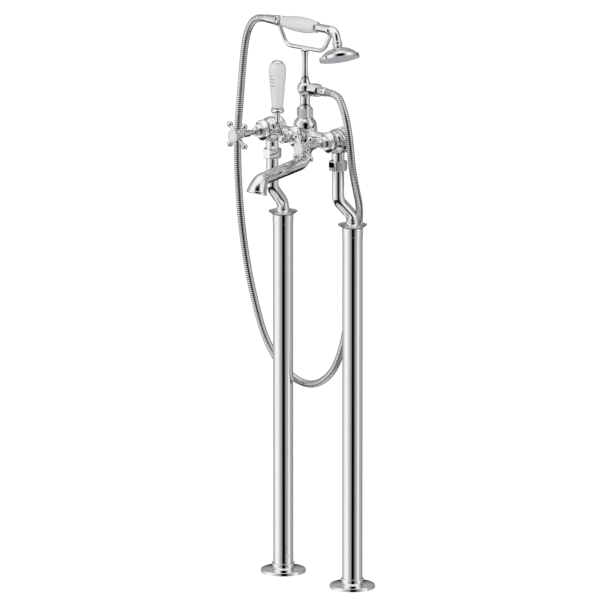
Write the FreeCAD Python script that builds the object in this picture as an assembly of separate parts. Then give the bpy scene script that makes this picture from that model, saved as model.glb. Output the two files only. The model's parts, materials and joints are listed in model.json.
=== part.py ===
import FreeCAD, Part
import math
import os

from FreeCAD import Placement, Rotation, Vector

# Floor standing bath filler with a hand shower, in millimetres.
# The origin is on the floor, midway between the two standpipes. +X runs from the left (hot) pipe to the
# right (cold) pipe, +Z is up, and the handles and the spout face -Y.
# Turned pieces are drawn as (radius, height) about their own axis. "Forward" is a distance in front of the
# valve axis, so it grows towards -Y.

# ---- clearances ----
SLIP = 0.1            # radial gap of pieces pushed together for good
RUNNING = 0.05        # radial gap of a spindle in its bore
REST_GAP = 0.3        # gap of the hand shower in its cradle

# ---- layout ----
PIPE_SPACING = 180.0
INLET_SPACING = 170.0
VALVE_FORWARD = 34.0  # valve axis in front of the standpipes
INLET_RISE = 38.0     # top of the union nut to the valve axis

# ---- floor fixing ----
PLATE_R = 38.0
PLATE_T = 5.0
SPIGOT_H = 27.0
SCREW_HOLE_R = 2.75
SCREW_HEAD_R = 5.2
SCREW_OFFSET = 29.0
COVER_R = 42.5
COVER_RIM_H = 6.0
COVER_WALL = 2.6
COVER_HUB_R = 21.5
COVER_HUB_H = 18.0
COVER_AIR = 1.0       # air between the cover and the plate under it
SOCKET_R = 12.0
SOCKET_COLLAR_R = 14.5
SOCKET_COLLAR_H = 4.0
SOCKET_TOP_H = 10.0
SOCKET_LIFT = 0.6     # the socket ends just above the floor
INLET_BORE_R = 7.6    # takes a 15 mm supply pipe from below
INLET_BORE_DEPTH = 20.0
PIPE_STOP_R = 6.0
PIPE_STOP_T = 3.0

# ---- standpipes ----
STANDPIPE_R = 19.0
STANDPIPE_WALL = 2.0
STANDPIPE_LENGTH = 669.0
RISER_R = 7.5
RISER_WALL = 0.7
COLLAR_R = 19.5
COLLAR_H = 16.0
COLLAR_SPIGOT_H = 22.0
LEG_SEAT_DEPTH = 14.0
FLANGE_R = 27.4
FLANGE_FOOT_R = 18.0
FLANGE_RISE = 4.6
FLANGE_EDGE = 1.4
FLANGE_HUB_R = 14.5
FLANGE_NECK_H = 12.0

# ---- cranked legs and unions ----
LEG_R = 11.4
LEG_WALL = 2.0
CRANK_START = 21.8    # flange foot to the first corner of the crank
CRANK_ANGLE = 45.0
CRANK_RADIUS = 14.0
LEG_UPPER = 65.3      # second corner of the crank to the leg's shoulder
SHOULDER_R = 13.0
SHOULDER_T = 3.0
WASHER_T = 2.0
WASHER_BORE_R = 8.5
NUT_FLATS = 32.0
NUT_SKIRT = 8.5       # part of the nut below the leg's shoulder
THREAD_R = 13.15
THREAD_H = 4.5
NUT_CHAMFER = 1.2

# ---- mixer body ----
STUB_R = 12.0
WATERWAY_R = 7.0
CHEST_CAP_R = 24.5
CHEST_BACK = 19.5
CHEST_CAP_DOME = 5.0
CHEST_CAP_T = 5.0
CHEST_BELLY_R = 22.8
CHEST_WAIST_R = 20.8
CHEST_THROAT_R = 17.0
CHEST_FRONT = 24.0
VALVE_BORE_R = 9.5
VALVE_BORE_DEPTH = 8.0
BAR_R = 9.6
BAR_FLARE_R = 14.0
BAR_FLARE = 14.0
HUB_R = 20.5
HUB_DROP = 24.0
HUB_FOOT_R = 17.0
BELL_R = 22.6
BELL_Z = 12.0
BELL_TOP_R = 14.6
BELL_TOP_Z = 33.0
BELL_SPIGOT_R = 10.0
BELL_SPIGOT_H = 8.0
BELL_BORE_R = 6.5
DIVERTER_BOSS_R = 15.5
DIVERTER_FACE = 26.0
SPOUT_BORE_R = 9.0

# ---- valve bonnets ----
ESCUTCHEON_R = 20.0
ESCUTCHEON_T = 6.0
BONNET_FLATS = 25.0
BONNET_HEX_T = 8.0
BONNET_NOSE_R = 9.4
BONNET_NOSE_T = 3.5
GLAND_FLATS = 16.0
GLAND_HEX_T = 6.0
GLAND_NOSE_R = 6.6
GLAND_NOSE_T = 3.0
SPINDLE_R = 4.7
DRIVE_R = 5.8
DRIVE_T = 4.0
CARTRIDGE_WALL_T = 3.0

# ---- cross handles ----
HANDLE_START = 62.0
HANDLE_HUB_R = 6.7
HANDLE_HUB_L = 19.0
HANDLE_BOSS_R = 9.6
ARM_PLANE = 94.0
ARM_BOSS_HALF = 5.5
ARM_ROOT_R = 4.3
ARM_TIP_R = 2.9
BALL_CENTRE = 26.4
BALL_R = 6.0
HANDLE_SEAT_R = 4.0
HANDLE_SEAT_L = 27.0
SCREW_R = 2.0
SCREW_CAP_R = 3.6
SCREW_CAP_T = 3.0
INDEX_RING_R = 12.6
INDEX_RING_T = 8.0
INDEX_R = 11.0
INDEX_T = 5.0
INDEX_CROWN = 1.6

# ---- diverter lever ----
LEVER_HUB_FORWARD = 56.0
LEVER_HUB_R = 9.0
LEVER_HUB_HALF = 8.0
LEVER_CAP_R = 6.5
LEVER_CAP_T = 3.0
LEVER_REACH = 18.0    # the grip's axis in front of the hub
LEVER_RISE = 36.0
LEVER_ARM_R = 4.4
LEVER_BEND_R = 14.0
FERRULE_R = 12.7
FERRULE_H = 11.0
FERRULE_Z = 51.0      # foot of the ferrule above the valve axis
LEVER_ROD_R = 3.0
GRIP_FOOT_R = 10.4
GRIP_TOP_R = 16.4
GRIP_H = 84.0
GRIP_SHOULDER = 13.0
GRIP_CROWN_R = 11.0
LEVER_TOP_R = 10.5
LEVER_TOP_H = 6.0

# ---- spout ----
SPOUT_ROOT_R = 17.0
SPOUT_ROOT_H = 9.0
SPOUT_R = 12.2
SPOUT_WALL = 2.6
SPOUT_DROP = 28.0     # valve body's foot to the spout's axis at the elbow
SPOUT_ELBOW_R = 20.0
SPOUT_SLOPE = 8.0
SPOUT_REACH = 109.0   # valve axis to the outlet's seam
OUTLET_RUN = 14.0     # seam to the corner of the outlet's bend
OUTLET_FALL = 20.6    # that corner to the lip
OUTLET_TILT = 17.0    # the mouth's lean from straight down
OUTLET_STEPS = 8
OUTLET_LIP_R = 18.6
OUTLET_LIP_H = 5.0
MOUTH_WALL = 2.4
STRAIGHTENER_RECESS = 2.5
STRAIGHTENER_HOLE_R = 2.0

# ---- cradle ----
LOCK_NUT_FLATS = 28.0
LOCK_NUT_H = 18.0
NECK_END_R = 11.0
NECK_WAIST_R = 9.2
NECK_H = 27.0
CRADLE_BALL_R = 14.6
CRADLE_BALL_FLAT_R = 9.4
OUTLET_STUB_R = 8.0
OUTLET_STUB_END = 17.0
STEM_WAIST_R = 5.2
STEM_TOP_R = 8.2
STEM_H = 65.3
FORK_R = 3.9
FORK_HALF = 45.0
FORK_BEND_R = 12.0
FORK_SEAT = 2.0       # how far the arm's end reaches into the hook's back
HOOK_WALL = 2.6
HOOK_WIDTH = 5.0
HOOK_HORN = 3.0
HOOK_AIR = 1.5        # air between a hook and the ring or cone beside it
FORK_TO_HANDSET = 43.0

# ---- hand shower ----
HANDSET_NECK_R = 7.75
HANDSET_BORE_R = 4.6
HANDSET_CORE_R = 6.4
TAIL_THREAD_R = 6.9
TAIL_THREAD_L = 9.0
GRIP_TAIL_X = -56.0
GRIP_NECK_X = 28.0
HANDLE_GRIP_R = 14.5
HANDLE_GRIP_END_R = 9.4
GRIP_RING_R = 10.6
GRIP_RING_T = 4.0
ELBOW_AFTER = 2.0     # middle of the hook to the start of the elbow
ELBOW_R = 17.0
ROSE_TILT = 20.0
ROSE_ROLL = 9.0
ELBOW_TAIL = 9.0
ROSE_COLLAR_R = 9.6
ROSE_COLLAR_H = 10.0
ROSE_NECK_R = 7.0
ROSE_R = 37.5
ROSE_CROWN_R = 29.0
ROSE_CROWN_H = 12.0
ROSE_DOME_H = 17.0
ROSE_RIM_H = 7.0
ROSE_WALL = 1.6
ROSE_PLATE_T = 3.0
ROSE_PLATE_INSET = 1.0

# ---- shower hose ----
HOSE_R = 7.0
HOSE_VALLEY_R = 6.2
HOSE_BORE_R = 4.0
HOSE_RIBS = 56
HOSE_NUT_FLATS = 23.0
HOSE_NUT_L = 19.0
HOSE_FERRULE_R = 8.4
HOSE_FERRULE_L = 21.0
CONE_LENGTH = 32.0
CONE_R = 10.2
CONE_TIP_R = 7.6
# Centre line between the two ends, chosen by eye: down behind the left pipe, up behind the right one.
HOSE_MIDDLE = [
    (-147.0, -34.0, 1042.0),
    (-156.0, -34.0, 1010.0),
    (-163.0, -33.0, 966.0),
    (-172.0, -30.0, 905.0),
    (-186.0, -24.0, 830.0),
    (-194.0, -14.0, 750.0),
    (-197.0, -3.0, 665.0),
    (-195.0, 10.0, 580.0),
    (-182.0, 20.0, 500.0),
    (-160.0, 28.0, 425.0),
    (-108.0, 32.0, 372.0),
    (-48.0, 33.0, 358.0),
    (4.0, 34.0, 388.0),
    (30.0, 38.0, 446.0),
    (43.0, 41.0, 520.0),
    (52.0, 44.0, 594.0),
    (61.0, 45.0, 663.0),
    (78.0, 33.0, 719.0),
    (102.0, -3.0, 763.0),
    (117.0, -30.0, 811.0),
    (121.0, -40.0, 863.0),
    (115.0, -42.0, 901.0),
    (100.0, -38.0, 928.0),
]
HOSE_FIRST_RUN = 26.0
HOSE_LAST_RUN = 25.5

# ---- heights and places that follow from the sizes ----
UP = Vector(0, 0, 1)
FRONT = Vector(0, -1, 0)
RIGHT = Vector(1, 0, 0)

pipe_top = PLATE_T + STANDPIPE_LENGTH
flange_foot = pipe_top + COLLAR_H
leg_foot = flange_foot - LEG_SEAT_DEPTH
crank_side = (PIPE_SPACING - INLET_SPACING) / 2
crank_run = math.hypot(VALVE_FORWARD, crank_side)
first_corner = flange_foot + CRANK_START
second_corner = first_corner + crank_run / math.tan(math.radians(CRANK_ANGLE))
shoulder_z = second_corner + LEG_UPPER
washer_z = shoulder_z + SHOULDER_T
thread_z = washer_z + WASHER_T
nut_top = thread_z + THREAD_H
axis_z = nut_top + INLET_RISE
bell_top = axis_z + BELL_TOP_Z
neck_z = bell_top + LOCK_NUT_H
ball_flat = math.sqrt(CRADLE_BALL_R ** 2 - CRADLE_BALL_FLAT_R ** 2)
ball_sink = math.sqrt(CRADLE_BALL_R ** 2 - NECK_END_R ** 2)
ball_z = neck_z + NECK_H + ball_sink
stem_foot = ball_z + ball_flat
fork_z = stem_foot + STEM_H
handset_z = fork_z + FORK_TO_HANDSET
hook_bore = HANDSET_NECK_R + REST_GAP
hook_x = GRIP_RING_T - GRIP_TAIL_X + HOOK_AIR + HOOK_WIDTH / 2
tail_end = hook_x + HOOK_WIDTH / 2 + HOOK_AIR
elbow_start = hook_x + ELBOW_AFTER
valve_centre = Vector(0, -VALVE_FORWARD, axis_z)

# nodes that hold two alike pieces
PAIRED = ("union_washers", "grip_rings")


def flat_point(pair):
    """A (radius, height) pair as a point of the drawing plane."""
    return Vector(pair[0], 0, pair[1])


def turned(start, *steps):
    """A solid turned about +Z. A step is a corner, or a pair: an arc's middle and its end."""
    edges = []
    here = flat_point(start)
    for step in steps + (start,):
        if isinstance(step[0], tuple):
            there = flat_point(step[1])
            edges.append(Part.Arc(here, flat_point(step[0]), there).toShape())
        else:
            there = flat_point(step)
            if here.distanceToPoint(there) > 1e-6:
                edges.append(Part.LineSegment(here, there).toShape())
        here = there
    return Part.Face(Part.Wire(edges)).revolve(Vector(), UP, 360)


def aimed(shape, origin, direction):
    """The shape with its own +Z turned to a direction and its foot moved to a point."""
    moved = shape.copy()
    moved.Placement = Placement(origin, Rotation(UP, direction))
    return moved


def lifted(shape, x, y, z):
    """The shape moved, not turned."""
    moved = shape.copy()
    moved.translate(Vector(x, y, z))
    return moved


def drilled(radius, low, high, x=0.0, y=0.0):
    """A round rod along +Z, for a bore or a shank."""
    return Part.makeCylinder(radius, high - low, Vector(x, y, low))


def ring(outer, inner, low, high):
    """A plain ring about +Z."""
    return drilled(outer, low, high).cut(drilled(inner, low - 1, high + 1))


def hexagon(flats, low, high):
    """A hexagonal bar about +Z with chamfered corners at both ends."""
    corner = flats / math.sqrt(3)
    points = []
    for step in range(7):
        turn = math.radians(60 * step + 30)
        points.append(Vector(corner * math.cos(turn), corner * math.sin(turn), low))
    bar = Part.Face(Part.makePolygon(points)).extrude(Vector(0, 0, high - low))
    cut = corner - flats / 2 + NUT_CHAMFER / 4
    drop = cut * 0.5
    envelope = turned(
        (0, low), (corner - cut, low), (corner, low + drop), (corner, high - drop),
        (corner - cut, high), (0, high),
    )
    return bar.common(envelope)


def rounded(points, radii):
    """A wire of straight runs joined by tangent arcs of the given radii."""
    edges = []
    here = points[0]
    for index in range(1, len(points) - 1):
        corner = points[index]
        back = (points[index - 1] - corner).normalize()
        ahead = (points[index + 1] - corner).normalize()
        half = (math.pi - back.getAngle(ahead)) / 2
        reach = radii[index - 1] * math.tan(half)
        begin = corner + back * reach
        end = corner + ahead * reach
        middle_way = (back + ahead).normalize()
        sagitta = radii[index - 1] / math.cos(half) - radii[index - 1]
        middle = corner + middle_way * sagitta
        edges.append(Part.LineSegment(here, begin).toShape())
        edges.append(Part.Arc(begin, middle, end).toShape())
        here = end
    edges.append(Part.LineSegment(here, points[-1]).toShape())
    return Part.Wire(edges)


def swept(path, radius):
    """A round rod along a wire of runs and arcs."""
    first = path.Edges[0]
    start = first.valueAt(first.FirstParameter)
    along = first.tangentAt(first.FirstParameter)
    disc = Part.Face(Part.Wire(Part.makeCircle(radius, start, along)))
    return path.makePipe(disc)


def round_section(place, along, across, radius):
    """A circle square to a direction, its seam kept where the cross axis points."""
    side = along.cross(across).normalize()
    circle = Part.Wire(Part.makeCircle(radius))
    circle.Placement = Placement(place, Rotation(across, side, along, "ZXY"))
    return circle


def joined(*shapes):
    """One solid from overlapping ones, without the seams between them."""
    whole = shapes[0].fuse(list(shapes[1:]))
    return whole.removeSplitter()


def floor_plate():
    """Disc screwed to the floor, with the spigot that the standpipe stands over."""
    spigot_r = STANDPIPE_R - STANDPIPE_WALL - SLIP
    top = PLATE_T + SPIGOT_H
    bore = SOCKET_R + SLIP
    plate = turned(
        (bore, 0), (PLATE_R, 0), (PLATE_R, PLATE_T), (spigot_r, PLATE_T), (spigot_r, top - 1),
        (spigot_r - 1, top), (bore, top),
    )
    for side in (-1, 1):
        hole = drilled(SCREW_HOLE_R, -1, PLATE_T + 1, 0, side * SCREW_OFFSET)
        sink = Part.makeCone(
            SCREW_HOLE_R, SCREW_HEAD_R, SCREW_HEAD_R - SCREW_HOLE_R,
            Vector(0, side * SCREW_OFFSET, PLATE_T - SCREW_HEAD_R + SCREW_HOLE_R),
        )
        plate = plate.cut(hole.fuse(sink))
    return plate


def floor_cover():
    """Loose bell flange that hides the plate."""
    bore = STANDPIPE_R + SLIP
    roof = PLATE_T + COVER_AIR
    crown = roof + COVER_WALL
    return turned(
        (PLATE_R + COVER_AIR, 0), (COVER_R, 0), (COVER_R, COVER_RIM_H - 1.2), (COVER_R - 1.2, COVER_RIM_H),
        (COVER_HUB_R + 6, crown - 0.2), (COVER_HUB_R + 1.5, crown + 1.4), (COVER_HUB_R, crown + 4.5),
        (COVER_HUB_R, COVER_HUB_H - 1), (COVER_HUB_R - 1, COVER_HUB_H), (bore, COVER_HUB_H),
        (bore, roof), (PLATE_R + COVER_AIR, roof - COVER_AIR),
    )


def inlet_socket():
    """Brass socket: the supply pipe pushes in from below, the riser stands in it above."""
    seat = PLATE_T + SPIGOT_H
    stop = SOCKET_LIFT + INLET_BORE_DEPTH
    top = seat + SOCKET_COLLAR_H + SOCKET_TOP_H
    return turned(
        (INLET_BORE_R, SOCKET_LIFT), (SOCKET_R, SOCKET_LIFT), (SOCKET_R, seat), (SOCKET_COLLAR_R, seat),
        (SOCKET_COLLAR_R, seat + SOCKET_COLLAR_H), (SOCKET_R - 1, seat + SOCKET_COLLAR_H),
        (SOCKET_R - 1, top), (RISER_R + SLIP, top), (RISER_R + SLIP, stop + PIPE_STOP_T),
        (PIPE_STOP_R, stop + PIPE_STOP_T), (PIPE_STOP_R, stop), (INLET_BORE_R, stop),
    )


def riser():
    """Copper pipe inside the standpipe, from the socket to the foot of the cranked leg."""
    return ring(RISER_R, RISER_R - RISER_WALL, SOCKET_LIFT + INLET_BORE_DEPTH + PIPE_STOP_T, leg_foot)


def standpipe():
    """Polished tube that stands over the plate's spigot."""
    return ring(STANDPIPE_R, STANDPIPE_R - STANDPIPE_WALL, PLATE_T, pipe_top)


def top_collar():
    """Turned head of the standpipe, with a spigot down into it and a seat for the leg."""
    spigot_r = STANDPIPE_R - STANDPIPE_WALL - SLIP
    bore = RISER_R + SLIP
    seat_r = LEG_R + SLIP
    return turned(
        (bore, pipe_top - COLLAR_SPIGOT_H), (spigot_r, pipe_top - COLLAR_SPIGOT_H), (spigot_r, pipe_top),
        (COLLAR_R - 0.5, pipe_top), (COLLAR_R, pipe_top + 0.5), (COLLAR_R, flange_foot - 0.6),
        (COLLAR_R - 0.6, flange_foot), (seat_r, flange_foot), (seat_r, leg_foot), (bore, leg_foot),
    )


def top_flange():
    """Saucer round the foot of the cranked leg."""
    rim = flange_foot + FLANGE_RISE
    bore = LEG_R + SLIP
    top = flange_foot + FLANGE_NECK_H
    return turned(
        (bore, flange_foot), (FLANGE_FOOT_R, flange_foot), (FLANGE_R - 3.4, rim - 2.4), (FLANGE_R, rim),
        (FLANGE_R, rim + FLANGE_EDGE / 2), (FLANGE_R - 0.6, rim + FLANGE_EDGE),
        (FLANGE_HUB_R, rim + FLANGE_EDGE - 0.8), (bore + 1.4, rim + 3.4), (bore + 0.8, top), (bore, top),
    )


def cranked_leg(side):
    """Bent tube from the standpipe forward to the valve inlet, with a shoulder under the union nut."""
    pipe_x = side * PIPE_SPACING / 2
    inlet_x = side * INLET_SPACING / 2
    points = [
        Vector(pipe_x, 0, leg_foot),
        Vector(pipe_x, 0, first_corner),
        Vector(inlet_x, -VALVE_FORWARD, second_corner),
        Vector(inlet_x, -VALVE_FORWARD, shoulder_z + SHOULDER_T),
    ]
    path = rounded(points, [CRANK_RADIUS, CRANK_RADIUS])
    collar = lifted(drilled(SHOULDER_R, shoulder_z, washer_z), inlet_x, -VALVE_FORWARD, 0)
    return joined(swept(path, LEG_R), collar).cut(swept(path, LEG_R - LEG_WALL))


def union_nut():
    """Hexagonal nut that draws the leg's shoulder up against the valve inlet."""
    low = shoulder_z - NUT_SKIRT
    nut = hexagon(NUT_FLATS, low, nut_top)
    nut = nut.cut(drilled(LEG_R + SLIP, low - 1, shoulder_z))
    return nut.cut(drilled(THREAD_R + SLIP, shoulder_z, nut_top + 1))


def union_washer():
    """Fibre washer between the leg and the valve inlet."""
    return ring(SHOULDER_R, WASHER_BORE_R, washer_z, thread_z)


def chest():
    """One valve chest about its own axis: domed back cap, belly and throat."""
    back = -CHEST_BACK
    edge = back + CHEST_CAP_DOME
    return turned(
        (0, back), ((CHEST_CAP_R * 0.62, back + 1.4), (CHEST_CAP_R - 1, edge - 0.6)),
        (CHEST_CAP_R, edge + 0.6), (CHEST_CAP_R, edge + CHEST_CAP_T),
        (CHEST_WAIST_R, edge + CHEST_CAP_T + 1.4),
        ((CHEST_BELLY_R, 2), (CHEST_WAIST_R - 0.8, 13)), (CHEST_THROAT_R, 17.5),
        (CHEST_THROAT_R, CHEST_FRONT), (0, CHEST_FRONT),
    )


def crossbar_half(side):
    """Crossbar from the centre to one chest, flared where it meets them."""
    end = INLET_SPACING / 2
    flare_end = end - CHEST_WAIST_R + 3
    half = turned(
        (0, 0), (BAR_FLARE_R, 0), (BAR_FLARE_R, HUB_R - 4), (BAR_R + 1.2, HUB_R + 3),
        (BAR_R, HUB_R + BAR_FLARE), (BAR_R, flare_end - BAR_FLARE), (BAR_R + 1.2, flare_end - 4),
        (BAR_FLARE_R, flare_end), (0, flare_end + 6),
    )
    return aimed(half, valve_centre, RIGHT * side)


def mixer_body():
    """The brass casting: two chests, crossbar, bell, diverter boss and their waterways."""
    shoulder = BELL_Z + (BELL_TOP_Z - BELL_Z) * 4 / 7
    bell = turned(
        (0, -HUB_DROP), (HUB_FOOT_R, -HUB_DROP), (HUB_FOOT_R, -HUB_DROP + 5), (HUB_R, -HUB_DROP / 2),
        (HUB_R + 0.5, 0), (BELL_R, BELL_Z - 3), (BELL_R, BELL_Z),
        ((BELL_R - 2.2, shoulder), (BELL_TOP_R + 0.6, BELL_TOP_Z - 2)), (BELL_TOP_R, BELL_TOP_Z),
        (BELL_SPIGOT_R, BELL_TOP_Z), (BELL_SPIGOT_R, BELL_TOP_Z + BELL_SPIGOT_H),
        (0, BELL_TOP_Z + BELL_SPIGOT_H),
    )
    solids = [aimed(bell, valve_centre, UP), crossbar_half(-1), crossbar_half(1)]
    solids.append(aimed(drilled(DIVERTER_BOSS_R, 0, DIVERTER_FACE), valve_centre, FRONT))
    cuts = [aimed(drilled(VALVE_BORE_R, -VALVE_BORE_DEPTH, DIVERTER_FACE + 1), valve_centre, FRONT)]
    cuts.append(aimed(drilled(BELL_BORE_R, 0, BELL_TOP_Z + BELL_SPIGOT_H + 1), valve_centre, UP))
    cuts.append(aimed(drilled(SPOUT_BORE_R, 0, HUB_DROP + 1), valve_centre, -UP))
    for side in (-1, 1):
        centre = valve_centre + RIGHT * (side * INLET_SPACING / 2)
        solids.append(aimed(chest(), centre, FRONT))
        stub = turned((0, 0), (0, -INLET_RISE - THREAD_H), (THREAD_R, -INLET_RISE - THREAD_H),
                      (THREAD_R, -INLET_RISE), (STUB_R, -INLET_RISE), (STUB_R, 0))
        solids.append(aimed(stub, centre, UP))
        cuts.append(aimed(drilled(VALVE_BORE_R, -VALVE_BORE_DEPTH, CHEST_FRONT + 1), centre, FRONT))
        cuts.append(aimed(drilled(WATERWAY_R, 0, INLET_RISE + THREAD_H + 1), centre, -UP))
    left_end = valve_centre - RIGHT * (INLET_SPACING / 2)
    cuts.append(aimed(drilled(WATERWAY_R, 0, INLET_SPACING), left_end, RIGHT))
    return joined(*solids).cut(Part.makeCompound(cuts))


def cartridge(face):
    """Brass sleeve of a quarter-turn valve, with its chamber and two water ports."""
    low = -VALVE_BORE_DEPTH
    outer = VALVE_BORE_R - SLIP
    chamber_top = low + CARTRIDGE_WALL_T + DRIVE_T + 2
    port_z = (low + CARTRIDGE_WALL_T + chamber_top) / 2
    sleeve = turned(
        (0, low), (outer, low), (outer, face), (SPINDLE_R + RUNNING, face),
        (SPINDLE_R + RUNNING, chamber_top), (DRIVE_R + SLIP, chamber_top),
        (DRIVE_R + SLIP, low + CARTRIDGE_WALL_T), (0, low + CARTRIDGE_WALL_T),
    )
    port = Part.makeCylinder(DRIVE_T / 2, 2 * outer + 2, Vector(-outer - 1, 0, port_z), RIGHT)
    return sleeve.cut(port)


def bonnet(face):
    """Round escutcheon, hexagon and nose in one turned piece, bored for the spindle."""
    low = face
    hex_low = low + ESCUTCHEON_T
    hex_high = hex_low + BONNET_HEX_T
    high = hex_high + BONNET_NOSE_T
    disc = turned(
        (0, low), (ESCUTCHEON_R - 1, low), (ESCUTCHEON_R, low + 1), (ESCUTCHEON_R, low + 2.4),
        (ESCUTCHEON_R - 1.4, low + 3.8), (ESCUTCHEON_R - 4.2, hex_low), (0, hex_low),
    )
    nose = turned((0, hex_high), (BONNET_NOSE_R, hex_high), (BONNET_NOSE_R - 0.9, high), (0, high))
    solid = joined(disc, hexagon(BONNET_FLATS, hex_low - 1, hex_high), nose)
    return solid.cut(drilled(SPINDLE_R + RUNNING, low - 1, high + 1))


def gland_nut(face):
    """Small hexagonal nut round the spindle."""
    low = face + ESCUTCHEON_T + BONNET_HEX_T + BONNET_NOSE_T
    hex_high = low + GLAND_HEX_T
    high = hex_high + GLAND_NOSE_T
    nose = turned((0, hex_high), (GLAND_NOSE_R, hex_high), (GLAND_NOSE_R - 1, high), (0, high))
    solid = joined(hexagon(GLAND_FLATS, low, hex_high), nose)
    return solid.cut(drilled(SPINDLE_R + RUNNING, low - 1, high + 1))


def spindle(seat_low, seat_high, seat_r):
    """Turned spindle: drive disc in the valve, bearing length, and the handle's seat."""
    low = -VALVE_BORE_DEPTH + CARTRIDGE_WALL_T
    return turned(
        (0, low), (DRIVE_R, low), (DRIVE_R, low + DRIVE_T), (SPINDLE_R, low + DRIVE_T), (SPINDLE_R, seat_low),
        (seat_r, seat_low), (seat_r, seat_high), (0, seat_high),
    )


handle_seat_low = HANDLE_START + 2
handle_seat_high = handle_seat_low + HANDLE_SEAT_L
screw_seat = handle_seat_high + 1
index_seat = ARM_PLANE + ARM_BOSS_HALF


def cross_handle():
    """Four ball-ended arms at 45 degrees on a hub, in one casting."""
    hub_end = HANDLE_START + HANDLE_HUB_L
    hub = turned(
        (0, HANDLE_START), (HANDLE_HUB_R - 0.8, HANDLE_START), (HANDLE_HUB_R, HANDLE_START + 0.8),
        (HANDLE_HUB_R, hub_end - 1), (HANDLE_HUB_R - 1.2, hub_end),
        (HANDLE_HUB_R - 0.6, ARM_PLANE - ARM_BOSS_HALF - 3), (HANDLE_BOSS_R, ARM_PLANE - ARM_BOSS_HALF),
        (HANDLE_BOSS_R, index_seat), (0, index_seat),
    )
    solids = [hub]
    for quarter in range(4):
        turn = math.radians(45 + 90 * quarter)
        out = Vector(math.cos(turn), math.sin(turn), 0)
        root = Vector(0, 0, ARM_PLANE) + out * (HANDLE_BOSS_R - 3)
        arm_length = BALL_CENTRE - HANDLE_BOSS_R + 3 - BALL_R * 0.7
        solids.append(Part.makeCone(ARM_ROOT_R, ARM_TIP_R, arm_length, root, out))
        solids.append(Part.makeSphere(BALL_R, Vector(0, 0, ARM_PLANE) + out * BALL_CENTRE, out))
    whole = joined(*solids)
    whole = whole.cut(drilled(SPINDLE_R + SLIP, HANDLE_START - 1, handle_seat_low))
    whole = whole.cut(drilled(HANDLE_SEAT_R + SLIP, handle_seat_low, handle_seat_high))
    whole = whole.cut(drilled(SCREW_R + SLIP, handle_seat_high - 1, index_seat))
    return whole.cut(drilled(SCREW_CAP_R + SLIP, screw_seat, index_seat + 1))


def handle_screw():
    """Screw through the handle into the spindle's end."""
    shank = drilled(SCREW_R, handle_seat_high, screw_seat)
    return joined(shank, drilled(SCREW_CAP_R, screw_seat, screw_seat + SCREW_CAP_T))


def index_ring():
    """Chrome cup that holds the ceramic index."""
    top = index_seat + INDEX_RING_T
    floor = top - INDEX_T + INDEX_CROWN
    return turned(
        (0, index_seat), (HANDLE_BOSS_R, index_seat), (INDEX_RING_R - 1.4, index_seat + 2),
        (INDEX_RING_R, index_seat + 4), (INDEX_RING_R - 0.3, top - 0.8), (INDEX_R + 0.6, top),
        (INDEX_R + SLIP, top), (INDEX_R + SLIP, floor), (0, floor),
    )


def index_disc():
    """Crowned ceramic button."""
    foot = index_seat + INDEX_RING_T - INDEX_T + INDEX_CROWN
    edge = foot + INDEX_T - INDEX_CROWN
    crown = edge + INDEX_CROWN
    return turned(
        (0, foot), (INDEX_R, foot), (INDEX_R, edge),
        ((INDEX_R * 0.55, crown - INDEX_CROWN * 0.2), (1, crown)), (0, crown),
    )


def valve_group(side):
    """Everything on one valve axis, by name."""
    centre = valve_centre + RIGHT * (side * INLET_SPACING / 2)
    pieces = {
        "valve_cartridge": cartridge(CHEST_FRONT),
        "valve_bonnet": bonnet(CHEST_FRONT),
        "gland_nut": gland_nut(CHEST_FRONT),
        "valve_spindle": spindle(handle_seat_low, handle_seat_high, HANDLE_SEAT_R),
        "cross_handle": cross_handle(),
        "handle_screw": handle_screw(),
        "index_ring": index_ring(),
        "index_disc": index_disc(),
    }
    return {name: aimed(shape, centre, FRONT) for name, shape in pieces.items()}


lever_hub = valve_centre + FRONT * LEVER_HUB_FORWARD
grip_axis = lever_hub + FRONT * LEVER_REACH
ferrule_foot = axis_z + FERRULE_Z
grip_foot = ferrule_foot + FERRULE_H
grip_head = grip_foot + GRIP_H


def diverter_lever():
    """Hub, forward-cranked arm and the rod that carries the grip, in one piece."""
    hub_low = LEVER_HUB_FORWARD - LEVER_HUB_HALF
    hub_high = LEVER_HUB_FORWARD + LEVER_HUB_HALF
    hub = turned(
        (0, hub_low), (LEVER_HUB_R - 1, hub_low), (LEVER_HUB_R, hub_low + 1), (LEVER_HUB_R, hub_high - 1),
        (LEVER_HUB_R - 1, hub_high), (0, hub_high),
    )
    hub = aimed(hub, valve_centre, FRONT)
    corner = Vector(grip_axis.x, grip_axis.y, axis_z + LEVER_RISE)
    top = Vector(grip_axis.x, grip_axis.y, ferrule_foot + 2)
    arm = swept(rounded([lever_hub, corner, top], [LEVER_BEND_R]), LEVER_ARM_R)
    rod = lifted(drilled(LEVER_ROD_R, ferrule_foot + 1, grip_head + 2), grip_axis.x, grip_axis.y, 0)
    seat = aimed(drilled(HANDLE_SEAT_R + SLIP, hub_low - 1, hub_high - 3), valve_centre, FRONT)
    screw_way = aimed(drilled(SCREW_R + SLIP, hub_high - 4, hub_high + 1), valve_centre, FRONT)
    return joined(hub, arm, rod).cut(seat).cut(screw_way)


def lever_cap():
    """Domed screw that holds the lever on its spindle."""
    face = LEVER_HUB_FORWARD + LEVER_HUB_HALF
    crown = face + LEVER_CAP_T
    cap = turned(
        (0, face), (LEVER_CAP_R, face), ((LEVER_CAP_R - 1.6, crown - 0.8), (1, crown)), (0, crown),
    )
    return aimed(joined(cap, drilled(SCREW_R, face - 3, face + 1)), valve_centre, FRONT)


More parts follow.
